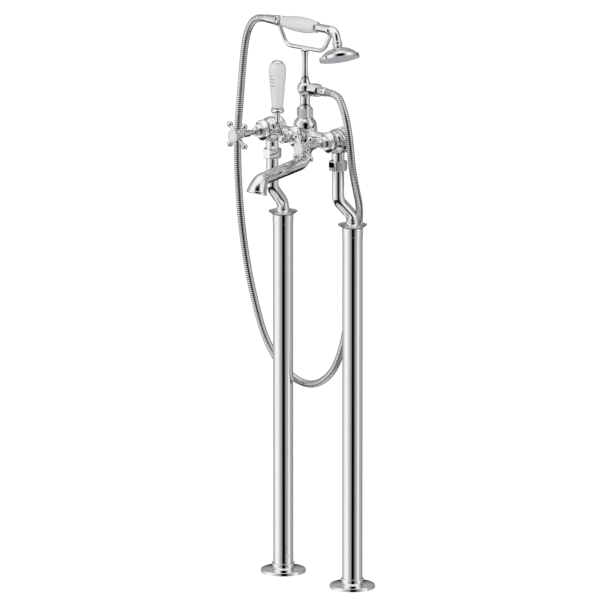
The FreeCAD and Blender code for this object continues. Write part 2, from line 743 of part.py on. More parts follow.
def lever_ferrule():
    """Chrome cup under the ceramic grip."""
    low = ferrule_foot
    cup = turned(
        (LEVER_ARM_R + SLIP, low), (FERRULE_R - 5, low), (FERRULE_R - 1.2, low + 1.4), (FERRULE_R, low + 4),
        (FERRULE_R, low + 6), (FERRULE_R - 2, low + 8), (FERRULE_R - 1.4, grip_foot),
        (LEVER_ROD_R + SLIP, grip_foot), (LEVER_ROD_R + SLIP, low + 2.2), (LEVER_ARM_R + SLIP, low + 2.2),
    )
    return lifted(cup, grip_axis.x, grip_axis.y, 0)


def lever_grip():
    """Ceramic grip, widest under its rounded shoulder."""
    shoulder = grip_head - GRIP_SHOULDER
    bore = LEVER_ROD_R + SLIP
    grip = turned(
        (bore, grip_foot), (GRIP_FOOT_R - 0.6, grip_foot), (GRIP_FOOT_R, grip_foot + 1),
        (GRIP_TOP_R - 0.2, shoulder),
        ((GRIP_TOP_R - 0.9, shoulder + GRIP_SHOULDER * 0.62), (GRIP_CROWN_R, grip_head)), (bore, grip_head),
    )
    return lifted(grip, grip_axis.x, grip_axis.y, 0)


def lever_top():
    """Chrome cap nut over the rod's end."""
    high = grip_head + LEVER_TOP_H
    cap = turned(
        (LEVER_ROD_R + SLIP, grip_head), (LEVER_TOP_R, grip_head), (LEVER_TOP_R, grip_head + 1.2),
        (LEVER_TOP_R - 3.2, high - 1.9), (2.8, high - 0.9), (2.2, high), (0, high), (0, grip_head + 2.1),
        (LEVER_ROD_R + SLIP, grip_head + 2.1),
    )
    return lifted(cap, grip_axis.x, grip_axis.y, 0)


foot_z = axis_z - HUB_DROP
spout_axis_z = foot_z - SPOUT_DROP
slope = math.radians(SPOUT_SLOPE)
lean = math.radians(OUTLET_TILT)
spout_way = Vector(0, -math.cos(slope), -math.sin(slope))
mouth_way = Vector(0, -math.sin(lean), -math.cos(lean))
outlet_joint = Vector(0, -VALVE_FORWARD - SPOUT_REACH, spout_axis_z - SPOUT_REACH * math.tan(slope))
outlet_corner = outlet_joint + spout_way * OUTLET_RUN
mouth = outlet_corner + mouth_way * OUTLET_FALL


def spout():
    """Spout tube: root under the body, elbow, and the sloping run to the outlet's seam."""
    top = Vector(0, -VALVE_FORWARD, foot_z)
    corner = Vector(0, -VALVE_FORWARD, spout_axis_z)
    path = rounded([top, corner, outlet_joint], [SPOUT_ELBOW_R])
    root = turned(
        (0, 0), (SPOUT_ROOT_R, 0), (SPOUT_ROOT_R, 3), (SPOUT_ROOT_R - 2, SPOUT_ROOT_H - 2),
        (SPOUT_R, SPOUT_ROOT_H), (0, SPOUT_ROOT_H),
    )
    return joined(swept(path, SPOUT_R), aimed(root, top, -UP)).cut(swept(path, SPOUT_R - SPOUT_WALL))


def outlet_form(shrink):
    """The outlet's bend: round sections along a parabola, widening from the tube to the lip."""
    sections = []
    for step in range(OUTLET_STEPS + 1):
        ahead = step / OUTLET_STEPS
        behind = 1 - ahead
        place = outlet_joint * behind ** 2 + outlet_corner * (2 * ahead * behind) + mouth * ahead ** 2
        along = (outlet_corner - outlet_joint) * behind + (mouth - outlet_corner) * ahead
        radius = SPOUT_R + (OUTLET_LIP_R - SPOUT_R) * ahead ** 1.3 - shrink
        sections.append(round_section(place, along.normalize(), RIGHT, radius))
    return Part.makeLoft(sections, True, True)


def spout_outlet():
    """Hollow outlet that turns the water down, with a plain lip."""
    lip = turned(
        (0, -0.2), (OUTLET_LIP_R, -0.2), (OUTLET_LIP_R + 0.5, 0.6), (OUTLET_LIP_R + 0.5, OUTLET_LIP_H - 1),
        (OUTLET_LIP_R, OUTLET_LIP_H), (0, OUTLET_LIP_H),
    )
    bore = drilled(OUTLET_LIP_R - MOUTH_WALL, -0.2, OUTLET_LIP_H + 1)
    whole = joined(outlet_form(0), aimed(lip, mouth, mouth_way))
    return whole.cut(outlet_form(MOUTH_WALL)).cut(aimed(bore, mouth, mouth_way))


def flow_straightener():
    """Perforated insert just inside the lip."""
    high = OUTLET_LIP_H - STRAIGHTENER_RECESS
    disc = drilled(OUTLET_LIP_R - MOUTH_WALL - SLIP, 0, high)
    holes = [drilled(STRAIGHTENER_HOLE_R, -1, high + 1)]
    for count, radius in ((6, 6.0), (10, 11.5)):
        for step in range(count):
            turn = 2 * math.pi * step / count
            aside, along = radius * math.cos(turn), radius * math.sin(turn)
            holes.append(drilled(STRAIGHTENER_HOLE_R, -1, high + 1, aside, along))
    return aimed(disc.cut(Part.makeCompound(holes)), mouth, mouth_way)


def cradle_nut():
    """Lock nut that lets the cradle be set square before it is tightened."""
    nut = hexagon(LOCK_NUT_FLATS, bell_top, neck_z)
    return lifted(nut.cut(drilled(BELL_SPIGOT_R + SLIP, bell_top - 1, neck_z + 1)), 0, -VALVE_FORWARD, 0)


def cradle_neck():
    """Waisted neck, ball and side outlet for the hose."""
    low = bell_top + BELL_SPIGOT_H
    body = turned(
        (0, low), (BELL_SPIGOT_R, low), (BELL_SPIGOT_R, neck_z), (NECK_END_R, neck_z),
        (NECK_END_R, neck_z + 2), ((NECK_WAIST_R, neck_z + NECK_H / 2), (NECK_END_R, neck_z + NECK_H)),
        (0, neck_z + NECK_H),
    )
    ball = Part.makeSphere(CRADLE_BALL_R, Vector(0, 0, ball_z))
    wide = 2 * CRADLE_BALL_R
    ball = ball.cut(Part.makeBox(2 * wide, 2 * wide, wide, Vector(-wide, -wide, stem_foot)))
    stub = Part.makeCylinder(OUTLET_STUB_R, OUTLET_STUB_END, Vector(0, 0, ball_z), RIGHT)
    whole = joined(body, ball, stub)
    whole = whole.cut(Part.makeCylinder(BELL_BORE_R - 1.5, OUTLET_STUB_END + 1, Vector(0, 0, ball_z), RIGHT))
    whole = whole.cut(drilled(BELL_BORE_R, low - 1, ball_z))
    return lifted(whole, 0, -VALVE_FORWARD, 0)


def hook(side):
    """Open half ring that the handset lies in."""
    outer = hook_bore + HOOK_WALL
    left = side * hook_x - HOOK_WIDTH / 2
    block = Part.makeCylinder(outer, HOOK_WIDTH, Vector(left, 0, handset_z), RIGHT)
    lower_half = Part.makeBox(HOOK_WIDTH, 2 * outer, outer, Vector(left, -outer, handset_z - outer))
    block = block.common(lower_half)
    horns = Part.makeBox(HOOK_WIDTH, 2 * outer, HOOK_HORN, Vector(left, -outer, handset_z))
    way = Part.makeCylinder(hook_bore, HOOK_WIDTH + 2, Vector(left - 1, 0, handset_z), RIGHT)
    slot = Part.makeBox(HOOK_WIDTH + 2, 2 * hook_bore, 2 * HOOK_HORN, Vector(left - 1, -hook_bore, handset_z))
    return block.fuse(horns).cut(way).cut(slot)


def cradle_fork():
    """Waisted stem, bar and two arms with open hooks."""
    stem = turned(
        (0, stem_foot), (CRADLE_BALL_FLAT_R, stem_foot),
        ((STEM_WAIST_R + 0.8, stem_foot + STEM_H * 0.24), (STEM_WAIST_R, stem_foot + STEM_H * 0.5)),
        ((STEM_WAIST_R + 0.6, stem_foot + STEM_H * 0.78), (STEM_TOP_R, fork_z - FORK_R * 0.4)),
        (0, fork_z),
    )
    end = Vector(hook_x, 0, handset_z - hook_bore - HOOK_WALL + FORK_SEAT - FORK_R)
    mirror_end = Vector(-end.x, 0, end.z)
    bar_points = [mirror_end, Vector(-FORK_HALF, 0, fork_z), Vector(FORK_HALF, 0, fork_z), end]
    bar = swept(rounded(bar_points, [FORK_BEND_R, FORK_BEND_R]), FORK_R)
    tips = [Part.makeSphere(FORK_R, point) for point in (end, mirror_end)]
    whole = joined(stem, bar, hook(-1), hook(1), *tips)
    return lifted(whole, 0, -VALVE_FORWARD, 0)


# ---- hand shower: its own axis runs along +X at the cradle's hooks ----
handset_centre = Vector(0, -VALVE_FORWARD, handset_z)
tilt = math.radians(ROSE_TILT)
roll = math.radians(ROSE_ROLL)
rose_way = Vector(math.sin(tilt), -math.cos(tilt) * math.sin(roll), -math.cos(tilt) * math.cos(roll))
elbow_corner_reach = ELBOW_R * math.tan((math.pi / 2 - tilt) / 2)
elbow_corner = handset_centre + RIGHT * (elbow_start + elbow_corner_reach)
elbow_end = elbow_corner + rose_way * (elbow_corner_reach + ELBOW_TAIL)


def along_handset(shape):
    """A turned shape laid along the handset's axis."""
    return aimed(shape, handset_centre, RIGHT)


def handset_body():
    """Core tube, tail thread, neck and elbow down to the rose."""
    core = turned(
        (0, -tail_end - TAIL_THREAD_L), (TAIL_THREAD_R, -tail_end - TAIL_THREAD_L),
        (TAIL_THREAD_R, -tail_end), (HANDSET_NECK_R, -tail_end), (HANDSET_NECK_R, GRIP_TAIL_X - GRIP_RING_T),
        (HANDSET_CORE_R, GRIP_TAIL_X - GRIP_RING_T), (HANDSET_CORE_R, GRIP_NECK_X + GRIP_RING_T),
        (HANDSET_NECK_R, GRIP_NECK_X + GRIP_RING_T), (HANDSET_NECK_R, elbow_start), (0, elbow_start),
    )
    start = handset_centre + RIGHT * (elbow_start - 0.5)
    path = rounded([start, elbow_corner, elbow_end], [ELBOW_R - 1e-3])
    bore_start = handset_centre - RIGHT * (tail_end + TAIL_THREAD_L + 1)
    bore_path = rounded([bore_start, elbow_corner, elbow_end], [ELBOW_R])
    whole = joined(along_handset(core), swept(path, HANDSET_NECK_R))
    return whole.cut(swept(bore_path, HANDSET_BORE_R))


def handset_grip():
    """Ceramic barrel over the core tube."""
    bore = HANDSET_CORE_R + SLIP
    middle = (GRIP_TAIL_X + GRIP_NECK_X) / 2 + 4
    barrel = turned(
        (bore, GRIP_TAIL_X), (HANDLE_GRIP_END_R, GRIP_TAIL_X),
        ((HANDLE_GRIP_R, middle), (HANDLE_GRIP_END_R, GRIP_NECK_X)), (bore, GRIP_NECK_X),
    )
    return along_handset(barrel)


def grip_ring(low, high):
    """Beaded ring at one end of the ceramic barrel."""
    bore = HANDSET_CORE_R + SLIP
    half = (low + high) / 2
    bead = turned(
        (bore, low), (GRIP_RING_R - 1.4, low), ((GRIP_RING_R, half), (GRIP_RING_R - 1.4, high)), (bore, high)
    )
    return along_handset(bead)


def rose_collar():
    """Union nut between the elbow and the rose."""
    collar = turned(
        (HANDSET_BORE_R, 0), (HANDSET_NECK_R + 0.4, 0), (ROSE_COLLAR_R, 1.8), (ROSE_COLLAR_R, 3.4),
        (ROSE_COLLAR_R - 1.6, 5), (ROSE_COLLAR_R - 1.6, 6.4), (ROSE_COLLAR_R, 7.6), (ROSE_COLLAR_R, 8.8),
        (ROSE_NECK_R, ROSE_COLLAR_H),
        (HANDSET_BORE_R, ROSE_COLLAR_H),
    )
    return aimed(collar, elbow_end, rose_way)


rose_foot = elbow_end + rose_way * ROSE_COLLAR_H
rose_edge = ROSE_DOME_H + ROSE_RIM_H


def rose_shell():
    """Spun bell of the rose, with a stepped rim."""
    inner = ROSE_R - ROSE_WALL
    shell = turned(
        (HANDSET_BORE_R, 0), (ROSE_NECK_R, 0), (ROSE_NECK_R + 4.5, 3.0),
        (ROSE_CROWN_R * 0.7, ROSE_CROWN_H * 0.5),
        ((ROSE_CROWN_R, ROSE_CROWN_H - 1), (ROSE_R - 2.4, ROSE_DOME_H)),
        (ROSE_R - 0.6, ROSE_DOME_H), (ROSE_R, ROSE_DOME_H + 1.4), (ROSE_R, rose_edge - 1),
        (ROSE_R - 0.4, rose_edge), (inner, rose_edge), (inner, ROSE_DOME_H + 1),
        (inner - 3, ROSE_DOME_H + 1 - ROSE_WALL),
        (ROSE_CROWN_R * 0.6, ROSE_CROWN_H * 0.5 + ROSE_WALL), (HANDSET_BORE_R, ROSE_WALL + 1.5),
    )
    return aimed(shell, rose_foot, rose_way)


def rose_plate():
    """Face plate with rings of spray holes."""
    low = rose_edge - ROSE_PLATE_T - ROSE_PLATE_INSET
    high = low + ROSE_PLATE_T
    rim = ROSE_R - ROSE_WALL - SLIP
    plate = turned((0, low), (rim, low), (rim, high), (0, high + 0.8))
    return aimed(plate, rose_foot, rose_way)


# ---- hose ----
hose_start = handset_centre - RIGHT * (tail_end + CONE_LENGTH)
outlet_face = Vector(OUTLET_STUB_END, -VALVE_FORWARD, ball_z)
hose_end = outlet_face + RIGHT * (HOSE_NUT_L + HOSE_FERRULE_L)


def hose_cone():
    """Conical ferrule that screws onto the handset's tail."""
    bore = TAIL_THREAD_R + SLIP
    cone = turned(
        (bore, 0), (CONE_R - 1, 0), (CONE_R, 1), (CONE_R, 4), (CONE_R - 0.8, 5.5),
        (CONE_TIP_R, CONE_LENGTH - 2), (CONE_TIP_R, CONE_LENGTH), (HOSE_BORE_R, CONE_LENGTH),
        (HOSE_BORE_R, TAIL_THREAD_L + 0.5), (bore, TAIL_THREAD_L + 0.5),
    )
    return aimed(cone, handset_centre - RIGHT * tail_end, -RIGHT)


def hose_nut():
    """Hexagonal nut on the cradle's side outlet."""
    nut = hexagon(HOSE_NUT_FLATS, 0, HOSE_NUT_L)
    return aimed(nut.cut(drilled(HOSE_BORE_R, -1, HOSE_NUT_L + 1)), outlet_face, RIGHT)


def hose_ferrule():
    """Tapered ferrule between the nut and the hose."""
    ferrule = turned(
        (HOSE_BORE_R, 0), (HOSE_FERRULE_R, 0), (HOSE_FERRULE_R, HOSE_FERRULE_L - 4),
        (CONE_TIP_R, HOSE_FERRULE_L), (HOSE_BORE_R, HOSE_FERRULE_L),
    )
    return aimed(ferrule, outlet_face + RIGHT * HOSE_NUT_L, RIGHT)


def hose_path():
    """Straight runs and tangent arcs through the hose's route, and the arcs' radii."""
    points = [hose_start, hose_start - RIGHT * HOSE_FIRST_RUN]
    points += [Vector(*place) for place in HOSE_MIDDLE]
    points += [hose_end + RIGHT * HOSE_LAST_RUN, hose_end]
    radii = []
    for index in range(1, len(points) - 1):
        back = points[index - 1] - points[index]
        ahead = points[index + 1] - points[index]
        half = (math.pi - back.getAngle(ahead)) / 2
        radii.append(0.45 * min(back.Length, ahead.Length) / math.tan(half))
    return rounded(points, radii), radii


def station(path, distance):
    """Place and direction at a distance along the hose."""
    for edge in path.Edges:
        if distance <= edge.Length + 1e-6:
            share = edge.getParameterByLength(min(distance, edge.Length))
            return edge.valueAt(share), edge.tangentAt(share)
        distance -= edge.Length
    last = path.Edges[-1]
    return last.valueAt(last.LastParameter), last.tangentAt(last.LastParameter)


def hose_circle(path, distance, radius):
    """One round section of the hose, its seam kept on one side by a steady cross axis."""
    place, along = station(path, distance)
    return round_section(place, along, along.cross(FRONT).normalize(), radius)


def shower_hose():
    """Ribbed metal hose with its bore. Each rib is four round sections."""
    path, radii = hose_path()
    straight = 2 * HOSE_R
    pitch = (path.Length - 2 * straight) / HOSE_RIBS
    sections = [hose_circle(path, 0, HOSE_VALLEY_R)]
    for rib in range(HOSE_RIBS):
        foot = straight + rib * pitch
        for share, radius in ((0.2, HOSE_VALLEY_R), (0.35, HOSE_R), (0.65, HOSE_R), (0.8, HOSE_VALLEY_R)):
            sections.append(hose_circle(path, foot + share * pitch, radius))
    sections.append(hose_circle(path, path.Length, HOSE_VALLEY_R))
    hose = Part.makeLoft(sections, True, True).cut(swept(path, HOSE_BORE_R))
    print("hose length %.0f mm, arc radii %s" % (path.Length, [round(radius) for radius in radii]))
    mean_area = math.pi * (HOSE_VALLEY_R ** 2 * 0.5 + HOSE_R ** 2 * 0.5 - HOSE_BORE_R ** 2)
    print("hose volume over section times length %.3f" % (hose.Volume / (mean_area * path.Length)))
    return hose


def leg_group(side):
    """Everything from the floor to the valve inlet on one side, by name."""
    pipe_x = side * PIPE_SPACING / 2
    inlet_x = side * INLET_SPACING / 2
    straight = {
        "floor_plate": floor_plate(), "floor_cover": floor_cover(), "inlet_socket": inlet_socket(),
        "riser_pipe": riser(), "standpipe": standpipe(), "top_collar": top_collar(),
        "top_flange": top_flange(),
    }
    pieces = {name: lifted(shape, pipe_x, 0, 0) for name, shape in straight.items()}
    pieces["cranked_leg"] = cranked_leg(side)
    pieces["union_nut"] = lifted(union_nut(), inlet_x, -VALVE_FORWARD, 0)
    return pieces


def assembly():
    """Every node by name."""
    nodes = {}
    for word, side in (("left", -1), ("right", 1)):
        for name, shape in list(leg_group(side).items()) + list(valve_group(side).items()):
            nodes[name + "_" + word] = shape
    washers = [lifted(union_washer(), side * INLET_SPACING / 2, -VALVE_FORWARD, 0) for side in (-1, 1)]
    nodes["union_washers"] = Part.makeCompound(washers)
    nodes["mixer_body"] = mixer_body()
    lever_seat_low = LEVER_HUB_FORWARD - LEVER_HUB_HALF
    lever_seat_high = LEVER_HUB_FORWARD + LEVER_HUB_HALF - 4
    nodes["diverter_cartridge"] = aimed(cartridge(DIVERTER_FACE), valve_centre, FRONT)
    nodes["diverter_bonnet"] = aimed(bonnet(DIVERTER_FACE), valve_centre, FRONT)
    nodes["diverter_spindle"] = aimed(
        spindle(lever_seat_low, lever_seat_high, HANDLE_SEAT_R), valve_centre, FRONT
    )
    nodes["diverter_lever"] = diverter_lever()
    nodes["lever_cap"] = lever_cap()
    nodes["lever_ferrule"] = lever_ferrule()
    nodes["lever_grip"] = lever_grip()
    nodes["lever_top"] = lever_top()
    nodes["spout"] = spout()
    nodes["spout_outlet"] = spout_outlet()
    nodes["flow_straightener"] = flow_straightener()
    nodes["cradle_nut"] = cradle_nut()
    nodes["cradle_neck"] = cradle_neck()
    nodes["cradle_fork"] = cradle_fork()
    nodes["handset_body"] = handset_body()
    nodes["handset_grip"] = handset_grip()
    tail_bead = grip_ring(GRIP_TAIL_X - GRIP_RING_T, GRIP_TAIL_X)
    neck_bead = grip_ring(GRIP_NECK_X, GRIP_NECK_X + GRIP_RING_T)
    nodes["grip_rings"] = Part.makeCompound([tail_bead, neck_bead])
    nodes["rose_collar"] = rose_collar()
    nodes["rose_shell"] = rose_shell()
    nodes["rose_plate"] = rose_plate()
    nodes["hose_cone"] = hose_cone()
    nodes["hose_nut"] = hose_nut()
    nodes["hose_ferrule"] = hose_ferrule()
    nodes["shower_hose"] = shower_hose()
    return nodes


def main():
    """Write one STEP file for each node."""
    os.makedirs("parts", exist_ok=True)
    for name, shape in assembly().items():
        pieces = 2 if name in PAIRED else 1
        if len(shape.Solids) != pieces or not shape.isValid():
            print("%s has %d solids, valid: %s" % (name, len(shape.Solids), shape.isValid()))
        whole = shape if pieces == 2 else shape.Solids[0]
        whole.exportStep("parts/" + name + ".step")
    print("valve axis height %.1f mm, handset height %.1f mm" % (axis_z, handset_z))


main()
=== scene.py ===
"""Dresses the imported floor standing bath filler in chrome, glazed ceramic and ribbed hose.

Lengths are in millimetres until a mesh is made. The frame is the CAD's: the origin on the floor midway
between the standpipes, +X to the right (cold) pipe, handles and spout towards -Y, +Z up.
"""

import json
import logging
import math
from dataclasses import dataclass, field
from enum import Enum
from typing import Iterable, Sequence

import bpy
import numpy as np
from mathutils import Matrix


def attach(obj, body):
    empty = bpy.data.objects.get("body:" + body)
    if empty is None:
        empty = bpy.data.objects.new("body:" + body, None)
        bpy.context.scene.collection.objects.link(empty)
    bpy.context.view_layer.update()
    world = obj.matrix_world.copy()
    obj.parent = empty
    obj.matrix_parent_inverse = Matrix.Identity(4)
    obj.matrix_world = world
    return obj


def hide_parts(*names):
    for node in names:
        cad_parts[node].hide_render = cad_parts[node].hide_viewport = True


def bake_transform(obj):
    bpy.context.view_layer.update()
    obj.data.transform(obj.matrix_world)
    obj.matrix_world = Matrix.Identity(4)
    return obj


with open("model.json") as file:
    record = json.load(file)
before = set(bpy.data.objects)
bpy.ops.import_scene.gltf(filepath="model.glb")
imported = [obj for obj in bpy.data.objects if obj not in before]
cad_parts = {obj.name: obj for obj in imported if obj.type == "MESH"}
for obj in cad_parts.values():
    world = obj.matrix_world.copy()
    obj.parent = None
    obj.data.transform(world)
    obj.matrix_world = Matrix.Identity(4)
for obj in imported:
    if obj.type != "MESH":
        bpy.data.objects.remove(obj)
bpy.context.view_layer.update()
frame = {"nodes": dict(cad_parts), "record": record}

LOG = logging.getLogger("bath_filler")
Array = np.ndarray
X, Y, Z = np.eye(3)
FRONT = -Y
# Radius of a nut's crowned faces, in widths across its flats
CROWN = 2.5


class Body(Enum):
    """CAD bodies that a piece can ride on."""

    ROOT = "root"
    HOT = "hot_handle"
    COLD = "cold_handle"
    LEVER = "lever"
    HANDSET = "handset"


class Slot(Enum):
    """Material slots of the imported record."""

    CHROME = "chromed_brass"
    BRASS = "brass"
    COPPER = "copper"
    STEEL = "steel"
    CERAMIC = "white_ceramic"
    WHITE_PLASTIC = "white_plastic"
    PALE_PLASTIC = "pale_plastic"
    FIBRE = "fibre"
    HOSE = "hose_metal"


class Side(Enum):
    """The two pipes, by the name that ends their nodes and the sign of X."""

    LEFT = ("left", -1)
    RIGHT = ("right", 1)

    @property
    def word(self) -> str:
        """End of this side's node names."""
        return self.value[0]

    @property
    def sign(self) -> int:
        """Sign of X on this side."""
        return self.value[1]


# ---------------- surfaces


def unit(vector: Array) -> Array:
    """Scale directions to length one.

    Args:
        vector: One direction, or an array whose last axis holds them.

    Returns:
        The directions divided by their lengths.
    """
    length = np.linalg.norm(vector, axis=-1, keepdims=True)
    return vector / np.maximum(length, 1e-12)


@dataclass
class Surface:
    """A mesh as whole arrays, in millimetres.

    places has a row for each vertex. faces has four vertex numbers in a row, the last repeated on a triangle.
    normals has a direction for each corner of each face, and depth a number from 0 in a groove to 1 for each
    vertex.
    """

    places: Array
    faces: Array
    normals: Array
    depth: Array | None = None

    @classmethod
    def joined(cls, parts: Iterable["Surface"]) -> "Surface":
        """Put several surfaces in one.

        Args:
            parts: The surfaces.

        Returns:
            One surface that holds them all, face numbers shifted past the vertices before them.
        """
        parts = list(parts)
        shift = np.cumsum([0] + [len(part.places) for part in parts[:-1]])
        return cls(
            np.concatenate([part.places for part in parts]),
            np.concatenate([part.faces + step for part, step in zip(parts, shift)]),
            np.concatenate([part.normals for part in parts]),
        )

    def laid(self, origin: Array, way: Array, across: Array = X) -> "Surface":
        """Lay the surface so that its own +Z points along a direction.

        Args:
            origin: Where its own origin goes.
            way: Direction of its own +Z.
            across: Direction that its own +X leans to.

        Returns:
            The turned and moved surface.
        """
        way = unit(np.asarray(way, float))
        side = unit(np.cross(way, across))
        turn = np.stack([np.cross(side, way), side, way])
        return Surface(self.places @ turn + origin, self.faces, self.normals @ turn)

    def moved(self, x: float = 0.0, y: float = 0.0, z: float = 0.0) -> "Surface":
        """The surface shifted, not turned."""
        return Surface(self.places + np.array([x, y, z]), self.faces, self.normals)


def woven(places: Array, before: Array, after: Array, depth: Array | None = None) -> Surface:
    """Turn a grid of places, whose last column joins the first, into a closed surface.

    Face (i, j) runs from row i to row i + 1 and from column j to the next. Its corners take the normals
    that hold after row i and before row i + 1. Places that coincide are made one, which closes the seams and
    poles, and a face that loses a corner by it becomes a triangle.

    Args:
        places: Grid of shape (rows, columns, 3).
        before: Normals that hold on the side before each row, of the same shape.
        after: Normals that hold on the side after each row.
        depth: Groove depth of each row, if the surface has grooves.

    Returns:
        The surface.
    """
    rows, columns = places.shape[:2]
    near = np.arange(rows * columns).reshape(rows, columns)
    far = np.roll(near, -1, axis=1)
    faces = np.stack([near[:-1], far[:-1], far[1:], near[1:]], axis=-1).reshape(-1, 4)
    low, high = after.reshape(-1, 3), before.reshape(-1, 3)
    normals = np.stack([low[faces[:, 0]], low[faces[:, 1]], high[faces[:, 2]], high[faces[:, 3]]], axis=1)
    flat = places.reshape(-1, 3)
    _, first, same = np.unique(np.round(flat, 5), axis=0, return_index=True, return_inverse=True)
    faces = same.reshape(-1)[faces]
    for corner in range(4):
        short = faces[:, corner] == faces[:, (corner + 1) % 4]
        faces[short] = np.roll(faces[short], 2 - corner, axis=1)
        normals[short] = np.roll(normals[short], 2 - corner, axis=1)
    whole = (faces[:, 0] != faces[:, 1]) & (faces[:, 1] != faces[:, 2]) & (faces[:, 0] != faces[:, 2])
    deep = None if depth is None else np.repeat(depth, columns)[first]
    return Surface(flat[first], faces[whole], normals[whole], deep)


def netted(places: Array) -> Surface:
    """A grid's smooth surface, its normals the cross product of the grid's two directions.

    Args:
        places: Grid of shape (rows, columns, 3).

    Returns:
        The closed surface.
    """
    along = np.gradient(places, axis=0)
    round_it = np.roll(places, -1, axis=1) - np.roll(places, 1, axis=1)
    normals = unit(np.cross(round_it, along))
    return woven(places, normals, normals)


@dataclass
class Track:
    """A centre line of straight runs and tangent arcs, measured by length.

    Each piece has a start, a direction there, a unit vector to the arc's centre, a curvature and a length.
    """

    starts: Array
    ways: Array
    turns: Array
    bends: Array
    lengths: Array

    @classmethod
    def straight(cls, origin: Array, way: Array) -> "Track":
        """A straight line from a place along a direction, without end."""
        way = unit(np.asarray(way, float))
        return cls(np.array([origin], float), way[None], np.zeros((1, 3)), np.zeros(1), np.array([1e4]))

    @classmethod
    def cornered(cls, corners: Sequence[Array], radii: Sequence[float]) -> "Track":
        """Straight runs between corners, rounded by arcs.

        Each arc reaches radius * tan(turn / 2) into the runs beside its corner.

        Args:
            corners: The end places and the corners between them.
            radii: One radius for each inner corner.

        Returns:
            The track.
        """
        corners = np.asarray(corners, float)
        ways = unit(np.diff(corners, axis=0))
        cosine = np.clip((ways[:-1] * ways[1:]).sum(-1), -1, 1)
        turn = np.arccos(cosine)
        radii = np.asarray(radii, float)
        reach = np.concatenate([[0.0], radii * np.tan(turn / 2), [0.0]])
        run = np.linalg.norm(np.diff(corners, axis=0), axis=-1) - reach[:-1] - reach[1:]
        count = 2 * len(ways) - 1
        starts, heads, turns = np.zeros((count, 3)), np.zeros((count, 3)), np.zeros((count, 3))
        bends, lengths = np.zeros(count), np.zeros(count)
        starts[0::2] = corners[:-1] + ways * reach[:-1, None]
        starts[1::2] = corners[1:-1] - ways[:-1] * reach[1:-1, None]
        heads[0::2], heads[1::2] = ways, ways[:-1]
        turns[1::2] = unit(ways[1:] - ways[:-1] * cosine[:, None])
        bends[1::2] = 1 / radii
        lengths[0::2], lengths[1::2] = run, radii * turn
        return cls(starts, heads, turns, bends, lengths)

    @property
    def length(self) -> float:
        """Length of the whole track."""
        return float(self.lengths.sum())

    def at(self, distance: Array) -> tuple[Array, Array]:
        """Places and directions along the track.

        After a length u of an arc with curvature k the place is start + way * sin(ku)/k + turn * (1 - cos(ku))/k.

        Args:
            distance: Lengths along the track.

        Returns:
            The places and the directions, one row each.
        """
        begins = np.concatenate([[0.0], np.cumsum(self.lengths)[:-1]])
        piece = np.clip(np.searchsorted(begins, distance, side="right") - 1, 0, len(begins) - 1)
        gone = distance - begins[piece]
        bend = self.bends[piece]
        safe = np.where(bend == 0, 1.0, bend)
        ahead = np.where(bend == 0, gone, np.sin(safe * gone) / safe)
        aside = np.where(bend == 0, 0.0, (1 - np.cos(safe * gone)) / safe)
        way, turn = self.ways[piece], self.turns[piece]
        place = self.starts[piece] + way * ahead[:, None] + turn * aside[:, None]
        angle = bend * gone
        return place, way * np.cos(angle)[:, None] + turn * np.sin(angle)[:, None]


@dataclass
class Trail:
    """A centre line through many close places, measured by length."""

    places: Array
    marks: Array = field(init=False)
    ways: Array = field(init=False)

    def __post_init__(self) -> None:
        """Add up the lengths and take each place's direction from its neighbours."""
        steps = np.linalg.norm(np.diff(self.places, axis=0), axis=-1)
        self.marks = np.concatenate([[0.0], np.cumsum(steps)])
        self.ways = unit(np.gradient(self.places, self.marks, axis=0))

    @property
    def length(self) -> float:
        """Length of the whole line."""
        return float(self.marks[-1])

    def at(self, distance: Array) -> tuple[Array, Array]:
        """Places and directions between the given places, in proportion to length.

        Args:
            distance: Lengths along the line.

        Returns:
            The places and the directions.
        """
        place = np.stack([np.interp(distance, self.marks, self.places[:, axis]) for axis in range(3)], axis=1)
        way = np.stack([np.interp(distance, self.marks, self.ways[:, axis]) for axis in range(3)], axis=1)
        return place, unit(way)


